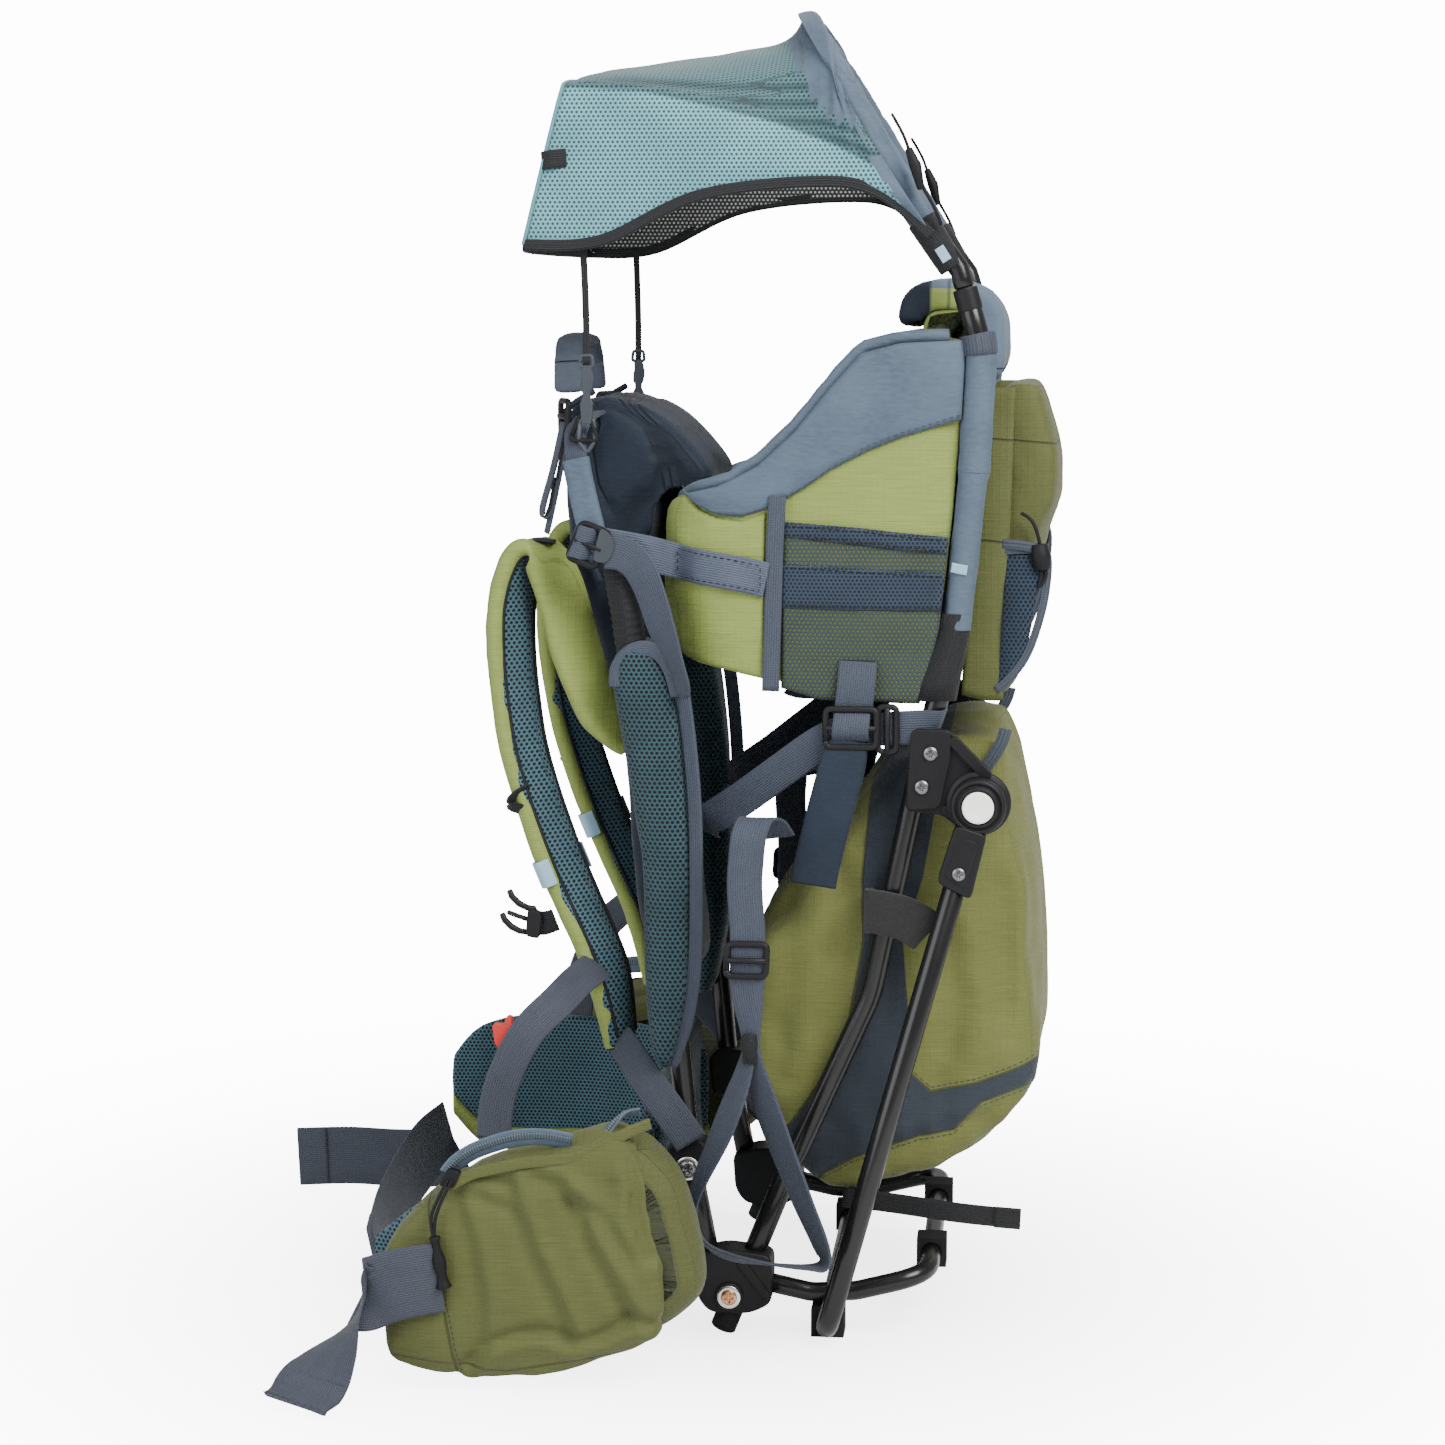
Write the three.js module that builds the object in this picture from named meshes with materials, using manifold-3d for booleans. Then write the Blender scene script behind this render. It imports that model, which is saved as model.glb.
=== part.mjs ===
// Baby carrier backpack: tube frame with a kickstand, child cockpit, sun canopy and hip belt.
// Millimetres, +Z up. The wearer faces -Y and the wearer's left is +X. Z = 0 is the ground.
import * as THREE from 'three';
import { mergeVertices } from 'three/addons/utils/BufferGeometryUtils.js';
import Module from 'manifold-3d';

const wasm = await Module();
wasm.setup();

// ---------------------------------------------------------------- driving sizes
const GAP = 0.3; // between pieces that touch
const SIDES = 12; // sides of a round tube
const TUBE_R = 8; // main tubes, stays and kickstand
const LOOP_R = 7; // base loop
const HOOP_R = 7; // canopy hoop
const SPIGOT_R = 5.8; // plug of the hoop inside a main tube
const SPIGOT_LENGTH = 40;
const FRAME_X = 140; // centre of the main tubes and stays
const LEG_X = 168; // centre of the kickstand legs
const CANOPY_LIFT_TILT = 0.28; // forward lean of the hoop's plugs, sine
const HUB = { y: 198, z: 397, radius: 20 }; // kickstand pivot
const PLATE_X = [149, 158]; // hinge bracket, inner and outer face
const ARM_X = [158.4, 178]; // hinge arm, inner and outer face
const BUTTON_R = 11.5;
const BUTTON_X = [168, 180.5];
const FOOT_BAR = { y: 92, z: 10 }; // centre of the kickstand's ground bar
const COCKPIT_X = 135; // centre of the cockpit's side walls
const COCKPIT_FRONT_Y = -17; // centre of the cockpit's front wall
const COCKPIT_WALL = 24;
const BACK_HALF_WIDTH = 88;
const BOLSTER_X = [92, 158];
const STRAP_WIDTH = 38;
const STRAP_THICKNESS = 12;
const BAG_HALF_WIDTH = 124;
const BAG_WALL = 4;
const WING_THICKNESS = 18;
const POUCH_X = [226, 292];
const STIRRUP_X = 193;
const WEBBING = { narrow: 25, belt: 50, thickness: 3 };

// ---------------------------------------------------------------- materials
const finish = (color, roughness, metalness = 0) =>
  new THREE.MeshStandardMaterial({ color, roughness, metalness });
const BLACK_TUBE = finish(0x1d1e20, 0.35, 0.6);
const PLASTIC = finish(0x141518, 0.5);
const RUBBER = finish(0x18181a, 0.85);
const CHROME = finish(0xc9cbcc, 0.25, 0.9);
const COPPERY = finish(0xb08a6a, 0.3, 0.9);
const WHITE_PLASTIC = finish(0xe9eaea, 0.4);
const OLIVE = finish(0x838a4b, 0.85);
const GRAY_CLOTH = finish(0x5d6774, 0.85);
const NAVY_CLOTH = finish(0x252c36, 0.85);
const TEAL_MESH = finish(0x54787d, 0.8);
const SPACER_MESH = finish(0x23434c, 0.9);
const WEB_GRAY = finish(0x4b505c, 0.8);

// ---------------------------------------------------------------- solids
const point = (x, y, z) => new THREE.Vector3(x, y, z);

function ringNormal(ring) {
  const normal = point(0, 0, 0);
  ring.forEach((a, i) => normal.add(a.clone().cross(ring[(i + 1) % ring.length])));
  return normal.normalize();
}

// Triangles that close a flat or nearly flat ring, wound as the ring is.
function capFaces(ring) {
  const normal = ringNormal(ring);
  const u = ring[1].clone().sub(ring[0]).projectOnPlane(normal).normalize();
  const v = normal.clone().cross(u);
  const outline = ring.map((p) => new THREE.Vector2(p.dot(u), p.dot(v)));
  return THREE.ShapeUtils.triangulateShape(outline, []).map(([a, b, c]) => {
    const ab = outline[b].clone().sub(outline[a]);
    const ac = outline[c].clone().sub(outline[a]);
    return ab.cross(ac) < 0 ? [a, c, b] : [a, b, c];
  });
}

// A closed body from points and faces, turned outwards.
function body(points, faces) {
  let volume = 0;
  for (const [a, b, c] of faces) volume += points[a].dot(points[b].clone().cross(points[c]));
  const index = faces.flatMap(([a, b, c]) => (volume < 0 ? [a, c, b] : [a, b, c]));
  const geometry = new THREE.BufferGeometry().setFromPoints(points);
  geometry.setIndex(index);
  return geometry;
}

// A closed body through rings that have equally many points.
function loft(rings) {
  const n = rings[0].length;
  const faces = capFaces(rings[0]).map(([a, b, c]) => [a, c, b]);
  for (let r = 0; r + 1 < rings.length; r++) {
    for (let i = 0; i < n; i++) {
      const a = r * n + i;
      const b = r * n + ((i + 1) % n);
      faces.push([a, b, b + n], [a, b + n, a + n]);
    }
  }
  const last = (rings.length - 1) * n;
  capFaces(rings[rings.length - 1]).forEach((f) => faces.push(f.map((i) => i + last)));
  return body(rings.flat(), faces);
}

// A flat outline of [y, z] corners, extruded between two x values.
const slab = (outline, [x0, x1]) =>
  loft([x0, x1].map((x) => outline.map(([y, z]) => point(x, y, z))));

const box = ([x0, x1], [y0, y1], [z0, z1]) =>
  slab([[y0, z0], [y1, z0], [y1, z1], [y0, z1]], [x0, x1]);

// Frames along a path, carried from point to point without twist.
function pathFrames(path, side) {
  return path.map((p, i) => {
    const before = path[Math.max(i - 1, 0)];
    const after = path[Math.min(i + 1, path.length - 1)];
    const inward = p.clone().sub(before).normalize();
    const outward = after.clone().sub(p).normalize();
    const tangent = inward.add(outward).normalize();
    side = side.clone().projectOnPlane(tangent).normalize();
    return { p, side, up: tangent.clone().cross(side) };
  });
}

// A round bar along a path.
function tube(path, radius, sides = SIDES) {
  const first = path[1].clone().sub(path[0]);
  const side = Math.abs(first.x) > Math.abs(first.y) ? point(0, 1, 0) : point(1, 0, 0);
  return loft(pathFrames(path, side).map(({ p, side: u, up }) =>
    Array.from({ length: sides }, (_, i) => {
      const angle = (2 * Math.PI * (i + 0.5)) / sides;
      const r = radius / Math.cos(Math.PI / sides);
      return p.clone().addScaledVector(u, r * Math.cos(angle)).addScaledVector(up, r * Math.sin(angle));
    })));
}

// A flat band along a path. side is the way its width runs at the start.
function band(path, side, width, thickness) {
  return loft(pathFrames(path, side).map(({ p, side: u, up }) =>
    [[1, 1], [-1, 1], [-1, -1], [1, -1]].map(([a, b]) =>
      p.clone().addScaledVector(u, (a * width) / 2).addScaledVector(up, (b * thickness) / 2))));
}

// A flat band through stations of [centre, way its width runs].
function strip(stations, width, thickness) {
  const centres = stations.map(([at]) => point(...at));
  return loft(stations.map(([, side], i) => {
    const before = centres[Math.max(i - 1, 0)];
    const after = centres[Math.min(i + 1, centres.length - 1)];
    const across = point(...side).normalize();
    const up = after.clone().sub(before).cross(across).normalize();
    return [[1, 1], [-1, 1], [-1, -1], [1, -1]].map(([a, b]) => centres[i].clone()
      .addScaledVector(across, (a * width) / 2).addScaledVector(up, (b * thickness) / 2));
  }));
}

// A polyline whose inner corners are rounded.
function rounded(corners, radius, steps = 4) {
  const path = [corners[0]];
  for (let i = 1; i + 1 < corners.length; i++) {
    const toLast = corners[i - 1].clone().sub(corners[i]);
    const toNext = corners[i + 1].clone().sub(corners[i]);
    const reach = radius / Math.tan(toLast.angleTo(toNext) / 2);
    const room = Math.min(reach, toLast.length() / 2, toNext.length() / 2);
    const a = corners[i].clone().addScaledVector(toLast.normalize(), room);
    const b = corners[i].clone().addScaledVector(toNext.normalize(), room);
    const curve = new THREE.QuadraticBezierCurve3(a, corners[i], b);
    path.push(...curve.getPoints(steps));
  }
  path.push(corners[corners.length - 1]);
  return path.filter((p, i) => i === 0 || p.distanceTo(path[i - 1]) > 0.5);
}

// An upright cushion section: [offset, z] corners with bevelled edges.
function pillow(half, low, high, bevel = 6) {
  return [[-half, low + bevel], [-half + bevel, low], [half - bevel, low], [half, low + bevel],
    [half, high - bevel], [half - bevel, high], [-half + bevel, high], [-half, high - bevel]];
}

// A turned piece on an axis along x: [x, radius] stations at (y, z).
const turned = (stations, y, z, sides = SIDES) =>
  loft(stations.map(([x, r]) => Array.from({ length: sides }, (_, i) => {
    const angle = (2 * Math.PI * i) / sides;
    return point(x, y + r * Math.cos(angle), z + r * Math.sin(angle));
  })));

function solid(geometry) {
  const merged = mergeVertices(geometry, 1e-4);
  return new wasm.Manifold(new wasm.Mesh({
    numProp: 3,
    vertProperties: new Float32Array(merged.attributes.position.array),
    triVerts: new Uint32Array(merged.index.array),
  }));
}

function surface(manifold) {
  const mesh = manifold.getMesh();
  const geometry = new THREE.BufferGeometry();
  geometry.setAttribute('position', new THREE.BufferAttribute(mesh.vertProperties, 3));
  geometry.setIndex(new THREE.BufferAttribute(mesh.triVerts, 1));
  return geometry;
}

const cut = (geometry, ...tools) =>
  surface(tools.reduce((left, tool) => left.subtract(solid(tool)), solid(geometry)));
const join = (...pieces) => surface(pieces.map(solid).reduce((a, b) => a.add(b)));

// ---------------------------------------------------------------- assembly
const carrier = new THREE.Group();
carrier.name = 'baby_carrier';
const HANDS = [['left', 1], ['right', -1]];

function add(name, geometry, material) {
  const mesh = new THREE.Mesh(geometry, material);
  mesh.name = name;
  carrier.add(mesh);
}

// ---------------------------------------------------------------- frame tubes
// The plug axis leans forward; the hoop slides along it.
const TUBE_TOP = { y: 184, z: 757 };
const RISE = { y: -CANOPY_LIFT_TILT, z: Math.sqrt(1 - CANOPY_LIFT_TILT ** 2) };
const alongRise = (x, s) => point(x, TUBE_TOP.y + RISE.y * s, TUBE_TOP.z + RISE.z * s);

const mainTubePath = (x) => rounded([
  point(x, 15, 3), point(x, 60, 116), point(x, 122, 254), point(x, 158, 430),
  point(x, 181, 520), point(x, 192, 632), alongRise(x, -SPIGOT_LENGTH - 4), alongRise(x, 0),
], 90, 3);
const stayPath = (x) => rounded([
  point(x, 8, 40), point(x, -9, 128), point(x, -16, 202), point(x, -60, 565),
], 60, 3);
const baseLoopPath = rounded([
  point(137, 46, 38), point(137, 80, 31), point(137, 112, 33), point(137, 165, 47),
  point(-137, 165, 47), point(-137, 112, 33), point(-137, 80, 31), point(-137, 46, 38),
], 34, 4);

for (const [hand, s] of HANDS) {
  const x = s * FRAME_X;
  const bore = tube([alongRise(x, -SPIGOT_LENGTH - 1), alongRise(x, 5)], SPIGOT_R + GAP + 0.1);
  add(`main_tube_${hand}`, cut(tube(mainTubePath(x), TUBE_R), bore), BLACK_TUBE);
  add(`front_stay_${hand}`, tube(stayPath(x), TUBE_R), BLACK_TUBE);
}
const bothFitted = (path, radius, route) =>
  cut(tube(path, radius), ...HANDS.map(([, s]) => tube(route(s * FRAME_X), TUBE_R + GAP)));
const crossPath = (y, z) => [point(-FRAME_X + 2, y, z), point(FRAME_X - 2, y, z)];
const FRONT_CROSSBAR = { y: -58.4, z: 552, radius: 6 };
add('front_crossbar',
  bothFitted(crossPath(FRONT_CROSSBAR.y, FRONT_CROSSBAR.z), FRONT_CROSSBAR.radius, stayPath), BLACK_TUBE);
add('rear_crossbar', bothFitted(crossPath(190.5, 615), 6, mainTubePath), BLACK_TUBE);
add('base_loop', tube(baseLoopPath, LOOP_R), BLACK_TUBE);

// ---------------------------------------------------------------- fittings and fasteners
// A pan-head screw: head outside, shank in a hole, pointing along -s x.
const screw = (s, face, depth, headR, y, z) => turned([
  [s * (face + 2.6), headR * 0.55], [s * (face + 1.9), headR * 0.85], [s * (face + GAP), headR],
  [s * (face + GAP - 0.01), headR * 0.5], [s * (face - depth), headR * 0.5],
], y, z);
const screwHole = (s, face, depth, headR, y, z) =>
  turned([[s * (face + 1), headR * 0.5 + GAP], [s * (face - depth - GAP), headR * 0.5 + GAP]], y, z);

const FOOT_BOLT = { y: 21, z: 31, face: 156, depth: 7, radius: 6 };
const STAY_BOLT = { y: -9, z: 126, face: 154, depth: 5, radius: 6.5 };
for (const [hand, s] of HANDS) {
  const x = s * FRAME_X;
  const routes = [mainTubePath(x), stayPath(x)].map((path) => tube(path, TUBE_R + GAP));
  const span = (inner, outer) => [s * inner, s * outer];
  const boltHole = ({ y, z, face, depth, radius }) => screwHole(s, face, depth, radius, y, z);
  const bolt = ({ y, z, face, depth, radius }) => screw(s, face, depth, radius, y, z);
  const footBlock = slab(
    [[1, 27], [-2, 54], [14, 62], [44, 59], [51, 46], [49, 29], [36, 19], [11, 18]], span(126, 156));
  add(`foot_fitting_${hand}`,
    cut(footBlock, ...routes, tube(baseLoopPath, LOOP_R + GAP), boltHole(FOOT_BOLT)), PLASTIC);
  add(`foot_bolt_${hand}`, bolt(FOOT_BOLT), COPPERY);
  const stayBlock = slab(
    [[-21, 112], [-23, 137], [-15, 144], [2, 142], [4, 120], [-2, 110]], span(129, 154));
  add(`stay_bracket_${hand}`, cut(stayBlock, routes[1], boltHole(STAY_BOLT)), PLASTIC);
  add(`stay_bolt_${hand}`, bolt(STAY_BOLT), CHROME);
}

// Rubber sleeves on the base loop's rear bar and on the kickstand's ground bar.
const CLIP_X = [62, 84];
const FOOT_X = [122, 146];
const kickstandDown = { y: FOOT_BAR.y - HUB.y, z: FOOT_BAR.z - HUB.z };
const legLength = Math.hypot(kickstandDown.y, kickstandDown.z);
const onLeg = (x, reach) => point(
  x, HUB.y + (kickstandDown.y * reach) / legLength, HUB.z + (kickstandDown.z * reach) / legLength);
const kickstandPath = rounded([
  onLeg(LEG_X, 27), onLeg(LEG_X, legLength), onLeg(-LEG_X, legLength), onLeg(-LEG_X, 27)], 22, 4);
for (const [hand, s] of HANDS) {
  const clip = box([s * CLIP_X[0], s * CLIP_X[1]], [154, 176], [36, 58]);
  add(`base_clip_${hand}`, cut(clip, tube(baseLoopPath, LOOP_R + GAP)), RUBBER);
  const foot = box([s * FOOT_X[0], s * FOOT_X[1]], [FOOT_BAR.y - 12, FOOT_BAR.y + 12], [0, 21]);
  add(`kickstand_foot_${hand}`, cut(foot, tube(kickstandPath, TUBE_R + GAP)), RUBBER);
}
add('kickstand_tube', tube(kickstandPath, TUBE_R), BLACK_TUBE);

// ---------------------------------------------------------------- kickstand hinges
const BRACKET_SCREWS = { upper: { y: 164, z: 432 }, lower: { y: 158, z: 408 } };
const ARM_SCREW_REACH = 49;
const BRACKET_OUTLINE = [
  [150, 449], [178, 449], [184, 428], [205, 421], [222, 404], [212, 380], [190, 374], [172, 388],
  [146, 390]];
for (const [hand, s] of HANDS) {
  const span = ([inner, outer]) => [s * inner, s * outer];
  const screwHoles = Object.values(BRACKET_SCREWS).map(({ y, z }) =>
    screwHole(s, PLATE_X[1], PLATE_X[1] - PLATE_X[0] - 1, 5, y, z));
  add(`hinge_bracket_${hand}`, cut(slab(BRACKET_OUTLINE, span(PLATE_X)), ...screwHoles), PLASTIC);
  for (const [place, { y, z }] of Object.entries(BRACKET_SCREWS)) {
    add(`bracket_screw_${place}_${hand}`, screw(s, PLATE_X[1], 7, 5, y, z), CHROME);
  }
  const disc = turned(ARM_X.map((x) => [s * x, HUB.radius]), HUB.y, HUB.z, 24);
  const shaftEnds = [onLeg(0, 0), onLeg(0, 62)];
  const middle = (s * (ARM_X[0] + ARM_X[1])) / 2;
  const shaft = band(shaftEnds.map((p) => p.setX(middle)), point(1, 0, 0), ARM_X[1] - ARM_X[0], 25);
  const well = turned([[s * (BUTTON_X[0] - 4), BUTTON_R + GAP], [s * (ARM_X[1] + 1), BUTTON_R + GAP]],
    HUB.y, HUB.z, 24);
  const armScrew = onLeg(0, ARM_SCREW_REACH);
  add(`hinge_arm_${hand}`, cut(join(disc, shaft), well, tube(kickstandPath, TUBE_R + GAP),
    screwHole(s, ARM_X[1], 1.4, 5, armScrew.y, armScrew.z)), PLASTIC);
  add(`arm_screw_${hand}`, screw(s, ARM_X[1], 1.2, 5, armScrew.y, armScrew.z), CHROME);
  add(`press_button_${hand}`, turned([[s * BUTTON_X[0], BUTTON_R], [s * (BUTTON_X[1] - 1), BUTTON_R],
    [s * BUTTON_X[1], BUTTON_R - 1]], HUB.y, HUB.z, 24), WHITE_PLASTIC);
}

// ---------------------------------------------------------------- canopy
const HOOP_LEAN = Math.atan2(117, 183); // hoop plane off the vertical
const HOOP_STRAIGHT = 77;
const hoopPoint = (x, s) => point(
  x, TUBE_TOP.y - Math.sin(HOOP_LEAN) * s, TUBE_TOP.z + Math.cos(HOOP_LEAN) * s);
const hoopArc = Array.from({ length: 13 }, (_, i) => {
  const angle = (Math.PI * i) / 12;
  return hoopPoint(FRAME_X * Math.cos(angle), HOOP_STRAIGHT + FRAME_X * Math.sin(angle));
});
const hoopTube = tube([alongRise(FRAME_X, GAP), alongRise(FRAME_X, 14), ...hoopArc,
  alongRise(-FRAME_X, 14), alongRise(-FRAME_X, GAP)], HOOP_R);
const hoopPlugs = HANDS.map(([, s]) =>
  tube([alongRise(s * FRAME_X, -SPIGOT_LENGTH), alongRise(s * FRAME_X, 6)], SPIGOT_R));
add('canopy_hoop', join(hoopTube, ...hoopPlugs), BLACK_TUBE);

// Half sections of the canopy from its hem to its ridge, rear to front: [x, y, z] corners.
const overHoop = (x, s) => hoopPoint(x, s).toArray();
const CANOPY_SECTIONS = [
  [overHoop(155, 43), overHoop(158, 80), overHoop(136, 156), overHoop(79, 214), overHoop(40, 231),
    overHoop(0, 236)],
  [[153, 125, 822], [154, 116, 833], [144, 98, 872], [105, 88, 925], [51, 73, 952], [0, 58, 954]],
  [[151, 84, 830], [150, 80, 840], [141, 69, 863], [112, 60, 899], [60, 50, 928], [0, 42, 938]],
  [[151, 0, 821], [151, 0, 850], [145, 0, 882], [126, -5, 902], [63, -10, 920], [0, -15, 928]],
  [[151, -70, 790], [151, -70, 840], [147, -70, 890], [131, -72, 904], [65, -76, 914], [0, -80, 918]],
  [[151, -124, 787], [151, -110.1, 842], [147, -98, 890], [133, -95.5, 900], [66, -94.2, 905],
    [0, -93.5, 908]],
];
const CANOPY_THICKNESS = 3;
const CANOPY_FRONT = { sag: 18, hemZ: 787 }; // the front panel bows forward at its hem

function canopyRing(half) {
  const outer = half.map(([x, y, z]) => point(x, y, z));
  outer.push(...half.slice(0, -1).reverse().map(([x, y, z]) => point(-x, y, z)));
  const normal = ringNormal(outer);
  const inner = outer.map((p, i) => {
    const along = outer[Math.min(i + 1, outer.length - 1)].clone().sub(outer[Math.max(i - 1, 0)]);
    return p.clone().addScaledVector(along.cross(normal).normalize(), -CANOPY_THICKNESS);
  });
  return [...outer, ...inner.reverse()];
}
const frontEdge = CANOPY_SECTIONS[CANOPY_SECTIONS.length - 1];
const frontOutline = [...frontEdge, ...frontEdge.slice(0, -1).reverse().map(([x, y, z]) => [-x, y, z])];
const frontPanel = loft([0.5, 0.5 - CANOPY_THICKNESS].map((shift) => frontOutline.map(([x, y, z]) => {
  const bow = Math.cos((x / 151) * (Math.PI / 2)) * ((908 - z) / (908 - CANOPY_FRONT.hemZ));
  return point(x, y - shift - CANOPY_FRONT.sag * bow, z);
})));
add('canopy_shell', join(loft(CANOPY_SECTIONS.map(canopyRing)), frontPanel), TEAL_MESH);

const CANOPY_STRAP = { y: -82, top: 783, bottom: 702, width: 7, thickness: 2 };
for (const [hand, s] of HANDS) {
  const { y, top, bottom, width, thickness } = CANOPY_STRAP;
  const across = [s * (FRAME_X - thickness / 2), s * (FRAME_X + thickness / 2)];
  add(`canopy_strap_${hand}`, box(across, [y - width / 2, y + width / 2], [bottom, top]), WEB_GRAY);
  const hook = slab([[y - 3.4, bottom - GAP], [y + 3.4, bottom - GAP], [y + 2.6, 681], [y + 4.6, 676],
    [y + 3.6, 662], [y - 3.6, 662], [y - 4.6, 676], [y - 2.6, 681]], [s * (FRAME_X - 2), s * (FRAME_X + 2)]);
  add(`canopy_hook_${hand}`, hook, PLASTIC);
}

// ---------------------------------------------------------------- child cockpit
// Plan stations of the padded wall from the left rear around the front to the right rear.
const COCKPIT_STATIONS = [ // [y, bottom, top] beside a main tube, then forward
  [165, 480, 724], [140, 468, 722], [113, 465, 715], [92, 468, 692], [66, 474, 660],
  [40, 478, 636], [14, 486, 622]];
const COCKPIT_REAR_LEAN = { low: -11, high: 13 }; // the rear end follows the main tubes
const cockpitWall = (() => {
  const half = COCKPIT_STATIONS.map(([y, low, high]) => ({
    at: point(COCKPIT_X, y, 0), out: point(1, 0, 0), low, high, lean: y === COCKPIT_STATIONS[0][0] }));
  const corner = 40;
  for (const degrees of [30, 60, 90]) {
    const a = THREE.MathUtils.degToRad(degrees);
    const centre = point(COCKPIT_X - corner, COCKPIT_FRONT_Y + corner, 0);
    const out = point(Math.cos(a), -Math.sin(a), 0);
    const at = centre.addScaledVector(out, corner);
    half.push({ at, out, low: 490 + degrees / 4.5, high: 618 - degrees / 7 });
  }
  const mirrored = half.slice().reverse().map(({ at, out, ...rest }) => ({
    at: point(-at.x, at.y, 0), out: point(-out.x, out.y, 0), ...rest }));
  return loft([...half, ...mirrored].map(({ at, out, low, high, lean }) =>
    pillow(COCKPIT_WALL / 2, low, high).map(([off, z]) => {
      const p = at.clone().addScaledVector(out, off).setZ(z);
      if (lean) p.y += z > (low + high) / 2 ? COCKPIT_REAR_LEAN.high : COCKPIT_REAR_LEAN.low;
      return p;
    })));
})();
add('cockpit_pad', cockpitWall, OLIVE);

const SEAT_OUTLINE = [[44, 460], [158, 460], [175, 500], [180, 678], [166, 678], [158, 500],
  [146, 474], [44, 474]];
add('seat', slab(SEAT_OUTLINE, [-112, 112]), NAVY_CLOTH);

const HEAD_REST_OUTLINE = [[133, 726], [138, 750], [152, 763], [178, 766], [200, 758], [211, 738],
  [213, 700], [206, 690], [199, 690], [197, 736], [186, 746], [168, 750], [154, 745], [148, 726]];
add('head_rest', slab(HEAD_REST_OUTLINE, [-116, 116]), GRAY_CLOTH);

// ---------------------------------------------------------------- back system
const BACK_OUTLINE = [[-110, 655], [-106, 674], [-93, 682], [-62, 682], [-32, 667], [4, 626],
  [2, 616], [-38, 616], [-44, 560], [-36, 420], [-16, 230], [-34, 226], [-54, 300], [-62, 420],
  [-84, 500], [-104, 560]];
add('back_pad', cut(slab(BACK_OUTLINE, [-BACK_HALF_WIDTH, BACK_HALF_WIDTH]),
  tube(crossPath(FRONT_CROSSBAR.y, FRONT_CROSSBAR.z), FRONT_CROSSBAR.radius + GAP)), NAVY_CLOTH);

const HANDLE = { y: [-119, -95], foot: 62, top: 46, base: 684, height: 724, thickness: 9 };
const handleOutline = (grow) => [[-HANDLE.foot - grow, HANDLE.base], [-HANDLE.top - grow, HANDLE.height - 14],
  [-HANDLE.top + 12 - grow, HANDLE.height + grow], [HANDLE.top - 12 + grow, HANDLE.height + grow],
  [HANDLE.top + grow, HANDLE.height - 14], [HANDLE.foot + grow, HANDLE.base]];
const handleRing = [...handleOutline(0), ...handleOutline(-HANDLE.thickness).reverse()];
add('grab_handle', loft(HANDLE.y.map((y) => handleRing.map(([x, z]) => point(x, y, z)))), GRAY_CLOTH);

const LUMBAR_OUTLINE = [[-44, 68], [-50, 100], [-50, 140], [-42, 180], [-26, 180], [-30, 124], [-24, 68]];
add('lumbar_pad', slab(LUMBAR_OUTLINE, [-124, 124]), SPACER_MESH);

const BOLSTER_OUTLINE = [[-38, 196], [-40, 242], [-40, 346], [-56, 440], [-66, 480], [-64, 502],
  [-52, 510], [-34, 508], [-22, 486], [-14, 440], [-8, 354], [-8, 258], [-20, 193]];
const STRAP_MIDDLE_X = 111;
// Shoulder strap stations: [y, z] of its centre and how far its face turns outwards, in degrees.
const STRAP_STATIONS = [
  [-90, 466, 52], [-94, 494, 52], [-101, 522, 52], [-109, 547, 46], [-117, 564, 38], [-126, 570, 34],
  [-135, 560, 38], [-142, 532, 44], [-143, 500, 46], [-140, 462, 47], [-132, 415, 47], [-110, 348, 48],
  [-80, 278, 50], [-71, 250, 48], [-64, 206, 44]];

// Both straps have flopped the same way round, so the right one isn't the mirror of the left.
function shoulderStrap(s) {
  const centres = STRAP_STATIONS.map(([y, z]) => point(s * STRAP_MIDDLE_X, y, z));
  return strip(STRAP_STATIONS.map(([, , degrees], i) => {
    const turn = s * THREE.MathUtils.degToRad(degrees);
    const run = centres[Math.min(i + 1, centres.length - 1)].clone().sub(centres[Math.max(i - 1, 0)]);
    const across = point(s * Math.cos(turn), -Math.sin(turn), 0).projectOnPlane(run.normalize());
    return [centres[i].toArray(), across.toArray()];
  }), STRAP_WIDTH, STRAP_THICKNESS);
}
for (const [hand, s] of HANDS) {
  const bore = tube(stayPath(s * FRAME_X), TUBE_R + GAP);
  add(`back_bolster_${hand}`, cut(slab(BOLSTER_OUTLINE, BOLSTER_X.map((x) => s * x)), bore), SPACER_MESH);
  add(`shoulder_strap_${hand}`, shoulderStrap(s), OLIVE);
}

// Plug half of the chest buckle at the front edge of the left shoulder strap, riding along it.
const BUCKLE = { x: [112, 124], y: -112, z: 306, web: 8, length: 32, drop: 8 };
const buckleTongue = slab([[BUCKLE.y - BUCKLE.web - BUCKLE.length, BUCKLE.z - 2],
  [BUCKLE.y - BUCKLE.web, BUCKLE.z - 18], [BUCKLE.y - BUCKLE.web, BUCKLE.z - 2],
  [BUCKLE.y - BUCKLE.web - BUCKLE.length, BUCKLE.z + 14]], BUCKLE.x);
const buckleLoop = slab([[BUCKLE.y - BUCKLE.web - 1, BUCKLE.z - 12], [BUCKLE.y, BUCKLE.z - BUCKLE.drop],
  [BUCKLE.y, BUCKLE.z], [BUCKLE.y - BUCKLE.web - 1, BUCKLE.z - 6]], BUCKLE.x);
add('sternum_buckle', join(buckleTongue, buckleLoop), PLASTIC);

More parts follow.
